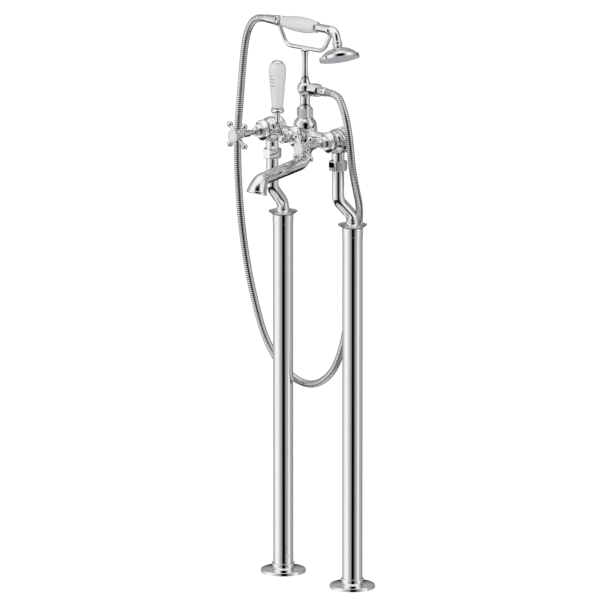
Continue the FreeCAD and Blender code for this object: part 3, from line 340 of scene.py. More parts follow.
class Outline:
    """Section line of a turned piece as radius and height, traced with the material on its left.

    A line up the outside of a rod therefore has its normal pointing away from the axis.
    """

    def __init__(self, radius: float, height: float) -> None:
        """Start the line at a place."""
        self._start = self._here = np.array([radius, height], float)
        self._legs: list[tuple[Array, Array, float]] = []

    def _add(self, places: Array, ways: Array, ease: float) -> "Outline":
        """Keep one leg of the line: its places, its directions and the rounding of the corner at its end.

        Args:
            places: Its places.
            ways: Its direction at each place.
            ease: Radius of the rounding at its end.

        Returns:
            The outline, for the next call.
        """
        self._legs.append((places, ways, ease))
        self._here = places[-1]
        return self

    def to(self, radius: float, height: float, ease: float = 0.35) -> "Outline":
        """Draw a straight line.

        Args:
            radius: Radius at its end.
            height: Height at its end.
            ease: Radius of the rounding where the next straight line begins.

        Returns:
            The outline, for the next call.
        """
        end = np.array([radius, height], float)
        way = unit(end - self._here)
        return self._add(np.stack([self._here, end]), np.stack([way, way]), ease)

    def arc(self, middle: tuple[float, float], end: tuple[float, float], steps: int = 14) -> "Outline":
        """Draw a circle's arc through a middle place, its centre where the chords' bisectors meet.

        Args:
            middle: A place on the arc.
            end: Its last place.
            steps: Rows along it.

        Returns:
            The outline, for the next call.
        """
        a, b, c = self._here, np.array(middle, float), np.array(end, float)
        centre = np.linalg.solve(2 * np.stack([b - a, c - a]), [b @ b - a @ a, c @ c - a @ a])
        first, half, last = (math.atan2(*(place - centre)[::-1]) for place in (a, b, c))
        span = (last - first) % (2 * math.pi)
        if (half - first) % (2 * math.pi) > span:
            span -= 2 * math.pi
        angle = first + span * np.linspace(0, 1, steps + 1)
        ray = np.stack([np.cos(angle), np.sin(angle)], axis=1)
        places = centre + np.linalg.norm(a - centre) * ray
        ways = np.stack([-ray[:, 1], ray[:, 0]], axis=1) * math.copysign(1, span)
        return self._add(places, ways, 0.0)

    def through(self, *places: tuple[float, float], leave: tuple[float, float] | None = None,
                land: tuple[float, float] | None = None, steps: int = 7) -> "Outline":
        """Draw a flowing line through places.

        Between two places it is the cubic whose slopes there are half the chord between their neighbours.

        Args:
            places: Radius and height pairs.
            leave: Direction at the start, where it isn't left to the places.
            land: Direction at the end, likewise.
            steps: Rows for each stretch.

        Returns:
            The outline, for the next call.
        """
        knots = np.vstack([self._here, np.array(places, float)])
        slopes = np.gradient(knots, axis=0)
        for index, wanted in ((0, leave), (-1, land)):
            if wanted is not None:
                slopes[index] = unit(np.array(wanted, float)) * np.linalg.norm(slopes[index])
        share = np.linspace(0, 1, steps + 1)[None, :, None]
        p, q = knots[:-1, None], knots[1:, None]
        u, v = slopes[:-1, None], slopes[1:, None]
        line = (2 * share**3 - 3 * share**2 + 1) * p + (share**3 - 2 * share**2 + share) * u
        line = line + (3 * share**2 - 2 * share**3) * q + (share**3 - share**2) * v
        way = (6 * share**2 - 6 * share) * (p - q) + (3 * share**2 - 4 * share + 1) * u
        way = way + (3 * share**2 - 2 * share) * v
        spots = np.concatenate([line[:, :-1].reshape(-1, 2), knots[-1:]])
        ways = np.concatenate([way[:, :-1].reshape(-1, 2), slopes[-1:]])
        return self._add(spots, unit(ways), 0.0)

    def close(self) -> "Outline":
        """Draw the last straight line back to the start."""
        return self.to(*self._start)

    def rows(self, step: float = 0.0) -> tuple[Array, Array, Array]:
        """The whole line as arrays.

        A corner of turn t between straight lines is rounded by an arc that starts ease * tan(t / 2) before it.

        Args:
            step: Longest piece that a straight line may have, or 0 for no limit.

        Returns:
            The places, the directions before them and the directions after them.
        """
        legs = [(places.copy(), ways, ease) for places, ways, ease in self._legs]
        made: list[tuple[Array, Array]] = []
        for index, (places, ways, ease) in enumerate(legs):
            bend = None
            after = legs[index + 1] if index + 1 < len(legs) else None
            if after is not None and len(places) == 2 and len(after[0]) == 2 and ease > 0:
                a, b = ways[-1], after[1][0]
                turn = math.acos(float(np.clip(a @ b, -1, 1)))
                if 0.05 < turn < 3.0:
                    room = 0.45 * min(np.linalg.norm(np.diff(leg, axis=0)) for leg in (places, after[0]))
                    reach = min(ease * math.tan(turn / 2), room)
                    radius = reach / math.tan(turn / 2)
                    toward = unit(b - a * (a @ b))
                    start = places[1] - a * reach
                    angle = np.linspace(0, turn, 3 + int(turn * 3))[:, None]
                    spots = start + radius * (np.sin(angle) * a + (1 - np.cos(angle)) * toward)
                    bend = (spots, np.cos(angle) * a + np.sin(angle) * toward)
                    places[1] = start
                    after[0][0] = spots[-1]
            if step > 0 and len(places) == 2:
                count = max(1, int(math.ceil(float(np.linalg.norm(places[1] - places[0])) / step)))
                share = np.linspace(0, 1, count + 1)[:, None]
                places, ways = places[0] + (places[1] - places[0]) * share, np.repeat(ways[:1], count + 1, axis=0)
            made.append((places, ways))
            if bend is not None:
                made.append(bend)
        spots = np.concatenate([places[:-1] for places, _ in made] + [made[-1][0][-1:]])
        after_ways = np.concatenate([ways[:-1] for _, ways in made] + [made[-1][1][-1:]])
        before_ways = np.concatenate([made[0][1][:1]] + [ways[1:] for _, ways in made])
        return spots, before_ways, after_ways


def carried(rows: tuple[Array, Array, Array], track: Track | Trail, across: Array = X, spokes: int = 64,
            flats: float = 0.0, depth: Array | None = None) -> Surface:
    """Carry an outline's rows round a centre line.

    The place at outline radius r and length s and spoke angle t is track(s) + r (cos t * across + sin t * side).
    A piece with flats has its radius held under six faces that polishing has crowned: each is a circle of radius
    b = CROWN * flats about a centre b - flats / 2 behind the axis.

    Args:
        rows: Places and directions before and after them, as an outline gives.
        track: Centre line.
        across: A direction that the whole track crosses.
        spokes: Places round the line.
        flats: Width across the flats of a hexagon, or 0 for a round piece.
        depth: Groove depth of each row, if the surface has grooves.

    Returns:
        The closed surface.
    """
    spots, before, after = rows
    place, way = track.at(spots[:, 1])
    across = unit(across - way * (way @ across)[:, None])
    side = np.cross(way, across)
    angle = np.linspace(0, 2 * math.pi, spokes, endpoint=False)
    ray = across[:, None] * np.cos(angle)[None, :, None] + side[:, None] * np.sin(angle)[None, :, None]
    radius = np.repeat(spots[:, :1], spokes, axis=1)
    low = ray * before[:, None, 1:2] - way[:, None] * before[:, None, 0:1]
    high = ray * after[:, None, 1:2] - way[:, None] * after[:, None, 0:1]
    if flats:
        middle = (np.floor(angle / (math.pi / 3) + 1e-9) + 0.5) * (math.pi / 3)
        bend, off = CROWN * flats, angle - middle
        inset = bend - flats / 2
        limit = (np.sqrt(bend**2 - (inset * np.sin(off)) ** 2) - inset * np.cos(off))[None]
        cut = (radius >= limit - 1e-6)[..., None]
        face = across[:, None] * np.cos(middle)[None, :, None] + side[:, None] * np.sin(middle)[None, :, None]
        face = (limit[..., None] * ray + inset * face) / bend
        radius = np.minimum(radius, limit)
        low, high = np.where(cut, face, low), np.where(cut, face, high)
    return woven(place[:, None] + radius[..., None] * ray, low, high, depth)


def turned(line: Outline, spokes: int = 64, flats: float = 0.0) -> Surface:
    """An outline turned about its own +Z, or a hexagon where it has flats."""
    return carried(line.rows(), Track.straight(np.zeros(3), Z), spokes=spokes, flats=flats)


def nut(flats: float, low: float, high: float, bore: float = 0.0, chamfer: float = 1.2) -> Surface:
    """A hexagonal nut about +Z: a turned blank with bevelled ends, its radius held under the flats.

    Args:
        flats: Width across the flats.
        low: Height of its foot.
        high: Height of its top.
        bore: Radius of its bore, or 0 for none.
        chamfer: Size of the bevels, as in the CAD.

    Returns:
        The closed surface.
    """
    corner = flats / math.sqrt(3)
    cut = corner - flats / 2 + chamfer / 4
    line = Outline(bore, low).to(corner - cut, low)
    line.to(corner + 0.02, low + cut / 2).to(corner + 0.02, high - cut / 2)
    line.to(corner - cut, high).to(bore, high, 0.15)
    if bore:
        line.close()
    return turned(line, spokes=96, flats=flats)


@dataclass
class Piece:
    """One finished object: its surface, its material, the nodes that it stands for, its body and its slot."""

    name: str
    surface: Surface
    material: bpy.types.Material
    nodes: tuple[str, ...] = ()
    body: Body = Body.ROOT
    slot: Slot = Slot.CHROME

    def _carry(self, item: bpy.types.Object) -> None:
        """Let the object ride on its body."""
        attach(item, self.body.value)

    def build(self) -> bpy.types.Object:
        """Make the mesh in metres at the origin, with its own corner normals.

        Returns:
            The object, riding on its body.
        """
        faces = self.surface.faces
        three = faces[:, 2] == faces[:, 3]
        sizes = np.where(three, 3, 4)
        kept = np.ones(faces.shape, bool)
        kept[three, 3] = False
        mesh = bpy.data.meshes.new(self.name)
        mesh.vertices.add(len(self.surface.places))
        mesh.vertices.foreach_set("co", (self.surface.places / 1000.0).astype(np.float32).ravel())
        mesh.loops.add(int(sizes.sum()))
        mesh.loops.foreach_set("vertex_index", faces[kept].astype(np.int32))
        mesh.polygons.add(len(faces))
        starts = np.concatenate([[0], np.cumsum(sizes)[:-1]])
        mesh.polygons.foreach_set("loop_start", starts.astype(np.int32))
        mesh.update(calc_edges=True)
        mesh.polygons.foreach_set("use_smooth", np.ones(len(faces), bool))
        mesh.normals_split_custom_set(unit(self.surface.normals[kept]).tolist())
        if self.surface.depth is not None:
            layer = mesh.attributes.new("groove", "FLOAT", "POINT")
            layer.data.foreach_set("value", self.surface.depth.astype(np.float32))
        mesh.materials.append(self.material)
        item = bpy.data.objects.new(self.name, mesh)
        bpy.context.scene.collection.objects.link(item)
        self._carry(item)
        if self.nodes:
            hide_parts(*self.nodes)
        LOG.info("%s: %d triangles on %s", self.name, int((sizes - 2).sum()), self.body.value)
        return item


@dataclass
class BlendedPiece(Piece):
    """A piece whose mesh is baked where it stands and that rides on no body. Its low and high places, in metres,
    are not used.
    """

    low: tuple[float, float, float] = (0.0, 0.0, 0.0)
    high: tuple[float, float, float] = (0.0, 0.0, 1.0)

    def _carry(self, item: bpy.types.Object) -> None:
        """Bake the object's transform into its mesh, leaving it on no body."""
        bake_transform(item)


def dressed(name: str, surface: Surface, material: bpy.types.Material, body: Body = Body.ROOT,
            slot: Slot = Slot.CHROME) -> Piece:
    """A piece that stands for one CAD node and is named after it."""
    return Piece("dressed_" + name, surface, material, (name,), body, slot)


# ---------------- finishes


@dataclass
class Graph:
    """Lays the nodes of one material, group or world."""

    tree: bpy.types.NodeTree

    def add(self, kind: str, inputs: dict[str | int, object] | None = None, **settings: object) -> bpy.types.Node:
        """Place a node.

        Args:
            kind: Blender's name of the node type.
            inputs: Socket names or numbers, with a value or with the output socket to join there.
            settings: Properties of the node itself.

        Returns:
            The node.
        """
        node = self.tree.nodes.new(kind)
        for name, value in settings.items():
            setattr(node, name, value)
        self.fill(node, inputs or {})
        return node

    def fill(self, node: bpy.types.Node, inputs: dict[str | int, object]) -> None:
        """Set or join a node's inputs.

        Args:
            node: The node.
            inputs: As for add.
        """
        for name, value in inputs.items():
            if isinstance(value, bpy.types.NodeSocket):
                self.tree.links.new(value, node.inputs[name])
            else:
                node.inputs[name].default_value = value

    def sum(self, operation: str, first: object, second: object = 0.0, third: object = 0.0,
            clamp: bool = False) -> bpy.types.NodeSocket:
        """One math node, by its operation, and its output."""
        inputs = {0: first, 1: second, 2: third}
        return self.add("ShaderNodeMath", inputs, operation=operation, use_clamp=clamp).outputs[0]

    def blend(self, share: object, first: object, second: object) -> bpy.types.NodeSocket:
        """Mix two colours by a share from 0 to 1.

        Args:
            share: Share of the second colour.
            first: Colour at 0.
            second: Colour at 1.

        Returns:
            The output socket.
        """
        node = self.add("ShaderNodeMix", data_type="RGBA")
        self.fill(node, {0: share, 6: first, 7: second})
        return node.outputs[2]

    def ranged(self, value: object, low: float, high: float, to_low: float, to_high: float) -> bpy.types.NodeSocket:
        """Map a span of values to another, smoothly and clamped."""
        inputs = {"Value": value, "From Min": low, "From Max": high, "To Min": to_low, "To Max": to_high}
        return self.add("ShaderNodeMapRange", inputs, interpolation_type="SMOOTHSTEP").outputs[0]


def shade(level: float, tint: tuple[float, float, float] = (1.0, 1.0, 1.0)) -> tuple[float, float, float, float]:
    """A grey of a level, tinted, as a colour socket takes it."""
    return (level * tint[0], level * tint[1], level * tint[2], 1.0)


class Effects:
    """Node groups that more than one finish places with its own values."""

    def __init__(self) -> None:
        """Build each group once."""
        self.marks = self._hand_marks()
        self.ripple = self._ripple()
        self.spots = self._water_spots()

    @staticmethod
    def _group(name: str, numbers: Sequence[str], output: str) -> tuple[bpy.types.NodeTree, Graph, bpy.types.Node]:
        """Start a group with a Vector input, number inputs and one number output.

        Args:
            name: Name of the group.
            numbers: Names of its number inputs.
            output: Name of its output.

        Returns:
            The group, its graph and its input node.
        """
        tree = bpy.data.node_groups.new(name, "ShaderNodeTree")
        tree.interface.new_socket("Vector", in_out="INPUT", socket_type="NodeSocketVector")
        for number in numbers:
            tree.interface.new_socket(number, in_out="INPUT", socket_type="NodeSocketFloat")
        tree.interface.new_socket(output, in_out="OUTPUT", socket_type="NodeSocketFloat")
        graph = Graph(tree)
        return tree, graph, graph.add("NodeGroupInput")

    def _hand_marks(self) -> bpy.types.NodeTree:
        """Smudges: a broad noise bent by a second one, kept where it is high, broken up by fine streaks.

        Returns:
            The group.
        """
        tree, graph, given = self._group("hand_marks", ("Scale", "Spread"), "Mask")
        broad = graph.add("ShaderNodeTexNoise", {"Vector": given.outputs["Vector"], "Scale": given.outputs["Scale"],
                                                 "Detail": 3.0, "Distortion": 1.2})
        low = graph.sum("SUBTRACT", 0.62, given.outputs["Spread"])
        patch = graph.add("ShaderNodeMapRange", {"Value": broad.outputs["Fac"], "From Min": low, "From Max": 0.72},
                          interpolation_type="SMOOTHSTEP")
        fine = graph.add("ShaderNodeTexNoise", {"Vector": given.outputs["Vector"], "Scale": 420.0, "Detail": 4.0})
        streak = graph.ranged(fine.outputs["Fac"], 0.35, 0.65, 0.45, 1.0)
        mask = graph.sum("MULTIPLY", patch.outputs[0], streak, clamp=True)
        graph.add("NodeGroupOutput", {"Mask": mask})
        return tree

    def _ripple(self) -> bpy.types.NodeTree:
        """Faint waves left by polishing: a broad and a finer noise added.

        Returns:
            The group.
        """
        tree, graph, given = self._group("polish_ripple", ("Scale",), "Height")
        broad = graph.add("ShaderNodeTexNoise", {"Vector": given.outputs["Vector"], "Scale": given.outputs["Scale"],
                                                 "Detail": 1.0})
        triple = graph.sum("MULTIPLY", given.outputs["Scale"], 3.1)
        finer = graph.add("ShaderNodeTexNoise", {"Vector": given.outputs["Vector"], "Scale": triple, "Detail": 1.0})
        height = graph.sum("MULTIPLY_ADD", finer.outputs["Fac"], 0.22, broad.outputs["Fac"])
        graph.add("NodeGroupOutput", {"Height": height})
        return tree

    def _water_spots(self) -> bpy.types.NodeTree:
        """Dried drops: thin rings round the middles of scattered cells.

        Returns:
            The group.
        """
        tree, graph, given = self._group("water_spots", ("Scale",), "Mask")
        inputs = {"Vector": given.outputs["Vector"], "Scale": given.outputs["Scale"], "Randomness": 1.0}
        cells = graph.add("ShaderNodeTexVoronoi", inputs)
        inner = graph.ranged(cells.outputs["Distance"], 0.10, 0.15, 0.0, 1.0)
        outer = graph.ranged(cells.outputs["Distance"], 0.17, 0.22, 1.0, 0.0)
        parts = graph.add("ShaderNodeSeparateColor", {0: cells.outputs["Color"]})
        some = graph.ranged(parts.outputs[0], 0.70, 0.74, 0.0, 1.0)
        ring = graph.sum("MULTIPLY", inner, outer)
        graph.add("NodeGroupOutput", {"Mask": graph.sum("MULTIPLY", ring, some, clamp=True)})
        return tree


@dataclass(frozen=True)
class Finish:
    """What every finish shares: a name and the start of its material."""

    name: str

    def _start(self) -> tuple[bpy.types.Material, Graph, bpy.types.NodeSocket, bpy.types.Node]:
        """A material with its Object coordinates and an empty Principled shader.

        Returns:
            The material, its graph, the coordinate socket and the shader.
        """
        material = bpy.data.materials.new(self.name)
        material.use_nodes = True
        material.node_tree.nodes.clear()
        graph = Graph(material.node_tree)
        place = graph.add("ShaderNodeTexCoord").outputs["Object"]
        shader = graph.add("ShaderNodeBsdfPrincipled")
        graph.add("ShaderNodeOutputMaterial", {"Surface": shader.outputs["BSDF"]})
        return material, graph, place, shader

    @staticmethod
    def _effect(graph: Graph, group: bpy.types.NodeTree, place: bpy.types.NodeSocket,
                **numbers: float) -> bpy.types.NodeSocket:
        """Place a shared effect and give its output.

        Args:
            graph: Graph to place it in.
            group: The effect's node group.
            place: Coordinates that it reads.
            numbers: Values of its number inputs.

        Returns:
            The output socket.
        """
        node = graph.add("ShaderNodeGroup", node_tree=group)
        graph.fill(node, {"Vector": place, **numbers})
        return node.outputs[0]

    @staticmethod
    def _bump(graph: Graph, shader: bpy.types.Node, height: bpy.types.NodeSocket, depth: float) -> None:
        """Bend the shader's normal by a height of so many metres."""
        bump = graph.add("ShaderNodeBump", {"Height": height, "Strength": 1.0, "Distance": depth})
        graph.fill(shader, {"Normal": bump.outputs["Normal"]})


@dataclass(frozen=True)
class Chrome(Finish):
    """Bright chrome plate over polished brass: a near mirror with smudges, dried drops and polishing waves.

    wave is the number of waves in a metre, and wave_depth their height in metres.
    """

    bright: float = 0.93
    roughness: float = 0.02
    wave: float = 55.0
    wave_depth: float = 0.00002
    smudge: float = 0.05

    def build(self, effects: Effects) -> bpy.types.Material:
        """Make the material.

        Args:
            effects: The shared node groups.

        Returns:
            The material.
        """
        material, graph, place, shader = self._start()
        marks = self._effect(graph, effects.marks, place, Scale=26.0, Spread=0.10)
        spots = self._effect(graph, effects.spots, place, Scale=170.0)
        dulled = graph.sum("MAXIMUM", marks, graph.sum("MULTIPLY", spots, 0.8))
        rough = graph.sum("MULTIPLY_ADD", dulled, self.smudge, self.roughness)
        clean, dull = shade(self.bright, (0.975, 0.985, 1.0)), shade(self.bright * 0.95, (0.975, 0.98, 1.0))
        graph.fill(shader, {"Base Color": graph.blend(dulled, clean, dull), "Roughness": rough, "Metallic": 1.0})
        self._bump(graph, shader, self._effect(graph, effects.ripple, place, Scale=self.wave), self.wave_depth)
        return material


@dataclass(frozen=True)
class RibbedChrome(Finish):
    """Wound chrome strip: bright crests, and duller grooves whose colour is darkened to near black as painted
    shade.

    Reads the mesh's own groove attribute, 0 in a groove and 1 on a crest.
    """

    def build(self, effects: Effects) -> bpy.types.Material:
        """Make the material.

        Args:
            effects: The shared node groups.

        Returns:
            The material.
        """
        material, graph, place, shader = self._start()
        crest = graph.add("ShaderNodeAttribute", attribute_name="groove").outputs["Fac"]
        marks = self._effect(graph, effects.marks, place, Scale=30.0, Spread=0.16)
        crest_share = graph.ranged(crest, 0.35, 0.95, 0.0, 1.0)
        # Painted shade: the groove colour falls to near black and stands in for the shade down in each groove.
        tone = graph.blend(crest_share, shade(0.03), shade(0.93, (0.975, 0.985, 1.0)))
        tone = graph.blend(graph.sum("MULTIPLY", marks, 0.35), tone, shade(0.62))
        worn = graph.sum("MULTIPLY_ADD", marks, 0.10, graph.ranged(crest_share, 0.0, 1.0, 0.30, 0.06))
        graph.fill(shader, {"Base Color": tone, "Roughness": worn, "Metallic": 1.0})
        self._bump(graph, shader, self._effect(graph, effects.ripple, place, Scale=240.0), 0.00001)
        return material


@dataclass(frozen=True)
class Ceramic(Finish):
    """Glazed white ceramic with a faint warm cast where the glaze pools, and a soft orange peel.

    rows are the heights in metres of short dark marks on the front, round an axis at axis_y.
    """

    rows: tuple[float, ...] = ()
    spans: tuple[float, ...] = ()
    axis_y: float = 0.0

    def build(self, effects: Effects) -> bpy.types.Material:
        """Make the material.

        Args:
            effects: The shared node groups.

        Returns:
            The material.
        """
        material, graph, place, shader = self._start()
        pool = graph.add("ShaderNodeTexNoise", {"Vector": place, "Scale": 38.0, "Detail": 2.0}).outputs["Fac"]
        tone = graph.blend(graph.ranged(pool, 0.4, 0.7, 0.0, 1.0), shade(0.90, (1.0, 0.998, 0.985)), shade(0.93))
        speck = graph.add("ShaderNodeTexNoise", {"Vector": place, "Scale": 1900.0, "Detail": 1.0}).outputs["Fac"]
        tone = graph.blend(graph.ranged(speck, 0.74, 0.80, 0.0, 0.35), tone, shade(0.62))
        if self.rows:
            tone = graph.blend(self._marks(graph, place), tone, shade(0.12))
        marks = self._effect(graph, effects.marks, place, Scale=24.0, Spread=0.12)
        rough = graph.sum("MULTIPLY_ADD", marks, 0.12, 0.07)
        graph.fill(shader, {"Base Color": tone, "Roughness": rough, "IOR": 1.52, "Coat Weight": 0.35,
                            "Coat Roughness": 0.04})
        self._bump(graph, shader, self._effect(graph, effects.ripple, place, Scale=150.0), 0.000035)
        return material

    def _marks(self, graph: Graph, place: bpy.types.NodeSocket) -> bpy.types.NodeSocket:
        """A column of short bars, each cut in dashes.

        A bar is where the height is within 0.9 mm of its row and the angle from the front within its span.

        Args:
            graph: The material's graph.
            place: Its Object coordinates.

        Returns:
            The output socket.
        """
        parts = graph.add("ShaderNodeSeparateXYZ", {0: place})
        ahead = graph.sum("SUBTRACT", self.axis_y, parts.outputs["Y"])
        angle = graph.sum("ARCTAN2", parts.outputs["X"], ahead)
        near = graph.sum("ABSOLUTE", angle)
        dash = graph.sum("SINE", graph.sum("MULTIPLY", angle, 26.0))
        cut = graph.ranged(dash, -0.55, -0.35, 0.0, 1.0)
        total: object = 0.0
        for height, span in zip(self.rows, self.spans):
            off = graph.sum("ABSOLUTE", graph.sum("SUBTRACT", parts.outputs["Z"], height))
            band = graph.ranged(off, 0.0008, 0.0011, 1.0, 0.0)
            inside = graph.ranged(near, span, span + 0.03, 1.0, 0.0)
            total = graph.sum("MAXIMUM", total, graph.sum("MULTIPLY", band, inside))
        return graph.sum("MULTIPLY", graph.sum("MULTIPLY", total, cut), 0.85)


@dataclass(frozen=True)
class Tinted(Finish):
    """A plainer inner or trim finish: two tones of one colour under a noise, with fine bump.

    grain is the number of grains in a metre, and stretch how much longer they are along Z.
    """

    light: tuple[float, float, float] = (0.8, 0.8, 0.8)
    dark: tuple[float, float, float] = (0.7, 0.7, 0.7)
    metallic: float = 0.0
    roughness: float = 0.4
    grain: float = 300.0
    stretch: float = 1.0
    depth: float = 0.00004

    def build(self, effects: Effects) -> bpy.types.Material:
        """Make the material.

        Args:
            effects: The shared node groups.

        Returns:
            The material.
        """
        material, graph, place, shader = self._start()
        drawn = graph.add("ShaderNodeMapping", {"Vector": place, "Scale": (1.0, 1.0, 1.0 / self.stretch)})
        noise = graph.add("ShaderNodeTexNoise", {"Vector": drawn.outputs[0], "Scale": self.grain, "Detail": 4.0})
        share = graph.ranged(noise.outputs["Fac"], 0.3, 0.7, 0.0, 1.0)
        tone = graph.blend(share, (*self.dark, 1.0), (*self.light, 1.0))
        marks = self._effect(graph, effects.marks, place, Scale=40.0, Spread=0.1)
        rough = graph.sum("MULTIPLY_ADD", marks, 0.15, self.roughness)
        graph.fill(shader, {"Base Color": tone, "Roughness": rough, "Metallic": self.metallic})
        self._bump(graph, shader, noise.outputs["Fac"], self.depth)
        return material


class Finishes:
    """Every material of the filler, built once."""

    def __init__(self, grip_rows: tuple[float, ...], grip_spans: tuple[float, ...], grip_y: float) -> None:
        """Build the materials.

        Args:
            grip_rows: Heights in metres of the marks on the lever's grip.
            grip_spans: Half width of each mark as an angle.
            grip_y: Y of the grip's axis in metres.
        """
        effects = Effects()
        self.tube = Chrome("polished_tube_chrome", wave=18.0, wave_depth=0.000006, smudge=0.03).build(effects)
        self.cast = Chrome("cast_body_chrome", wave=60.0, wave_depth=0.00006, roughness=0.03).build(effects)
        self.trim = Chrome("turned_trim_chrome", wave=90.0, wave_depth=0.00002).build(effects)
        self.ribbed = RibbedChrome("wound_hose_chrome").build(effects)
        self.ceramic = Ceramic("glazed_ceramic").build(effects)
        marked = Ceramic("marked_ceramic", rows=grip_rows, spans=grip_spans, axis_y=grip_y)
        self.marked_ceramic = marked.build(effects)
        nozzle = Tinted("nozzle_silicone", (0.46, 0.47, 0.49), (0.38, 0.39, 0.41), 0.0, 0.55, 900.0)
        self.nozzle = nozzle.build(effects)
        tints = {
            Slot.BRASS: Tinted("machined_brass", (0.80, 0.62, 0.33), (0.66, 0.48, 0.23), 1.0, 0.28, 500.0),
            Slot.COPPER: Tinted("drawn_copper", (0.78, 0.45, 0.32), (0.58, 0.30, 0.20), 1.0, 0.25, 900.0, 30.0),
            Slot.STEEL: Tinted("satin_steel", (0.68, 0.68, 0.69), (0.55, 0.55, 0.56), 1.0, 0.32, 700.0),
            Slot.WHITE_PLASTIC: Tinted("moulded_white", (0.86, 0.86, 0.85), (0.80, 0.80, 0.79), 0.0, 0.45, 1600.0),
            Slot.PALE_PLASTIC: Tinted("rose_face_plastic", (0.92, 0.93, 0.95), (0.80, 0.81, 0.84), 0.0, 0.30,
                                      1200.0),
            Slot.FIBRE: Tinted("pressed_fibre", (0.58, 0.27, 0.19), (0.42, 0.18, 0.13), 0.0, 0.8, 1400.0),
        }
        self._slots = {slot: tint.build(effects) for slot, tint in tints.items()}
        self._slots |= {Slot.CHROME: self.trim, Slot.CERAMIC: self.ceramic, Slot.HOSE: self.ribbed}
        self.pale_plastic = self._slots[Slot.PALE_PLASTIC]

    def for_slot(self, slot: str) -> bpy.types.Material:
        """Material of a CAD node that is kept, by its slot in the record."""
        return self._slots[Slot(slot)]


# ---------------- sub-assemblies


@dataclass(frozen=True)
class Layout:
    """Heights and places that the sub-assemblies share, as in the CAD."""

    pipe_x: float = 90.0
    inlet_x: float = 85.0
    valve_y: float = -34.0
    axis_z: float = 858.97
    pipe_top: float = 674.0
    flange_foot: float = 690.0
    leg_foot: float = 676.0
    first_corner: float = 711.8
    second_corner: float = 746.17
    shoulder_z: float = 811.47
    washer_z: float = 814.47
    nut_top: float = 820.97
    bell_top: float = 891.97
    neck_z: float = 909.97
    ball_z: float = 946.57
    stem_foot: float = 957.74
    fork_z: float = 1023.04
    handset_z: float = 1066.04
    foot_z: float = 834.97
    spout_z: float = 806.97

    @property
    def centre(self) -> Array:
        """Where the valve axes cross the middle of the body."""
        return np.array([0.0, self.valve_y, self.axis_z])


def hexed_bonnet(face: float, flats: float = 25.0) -> Surface:
    """Escutcheon, hexagon and nose about +Z, from the face that they screw up to.

    Args:
        face: Height of that face.
        flats: Width across the hexagon's flats.

    Returns:
        The closed surface.
    """
    disc = Outline(0, face).to(19.2, face).to(20, face + 0.9, 0.3).to(20, face + 2.6, 0.8)
    disc.through((18.4, face + 4.0), (15.4, face + 5.2), (12.4, face + 6.2), leave=(-1, 0.5)).to(0, face + 6.2)
    nose = Outline(0, face + 13.9).to(9.4, face + 13.9).to(9.4, face + 16.3, 0.5).to(8.5, face + 17.5, 0.2)
    nose.to(0, face + 17.5)
    return Surface.joined([turned(disc, 80), nut(flats, face + 5, face + 14), turned(nose)])


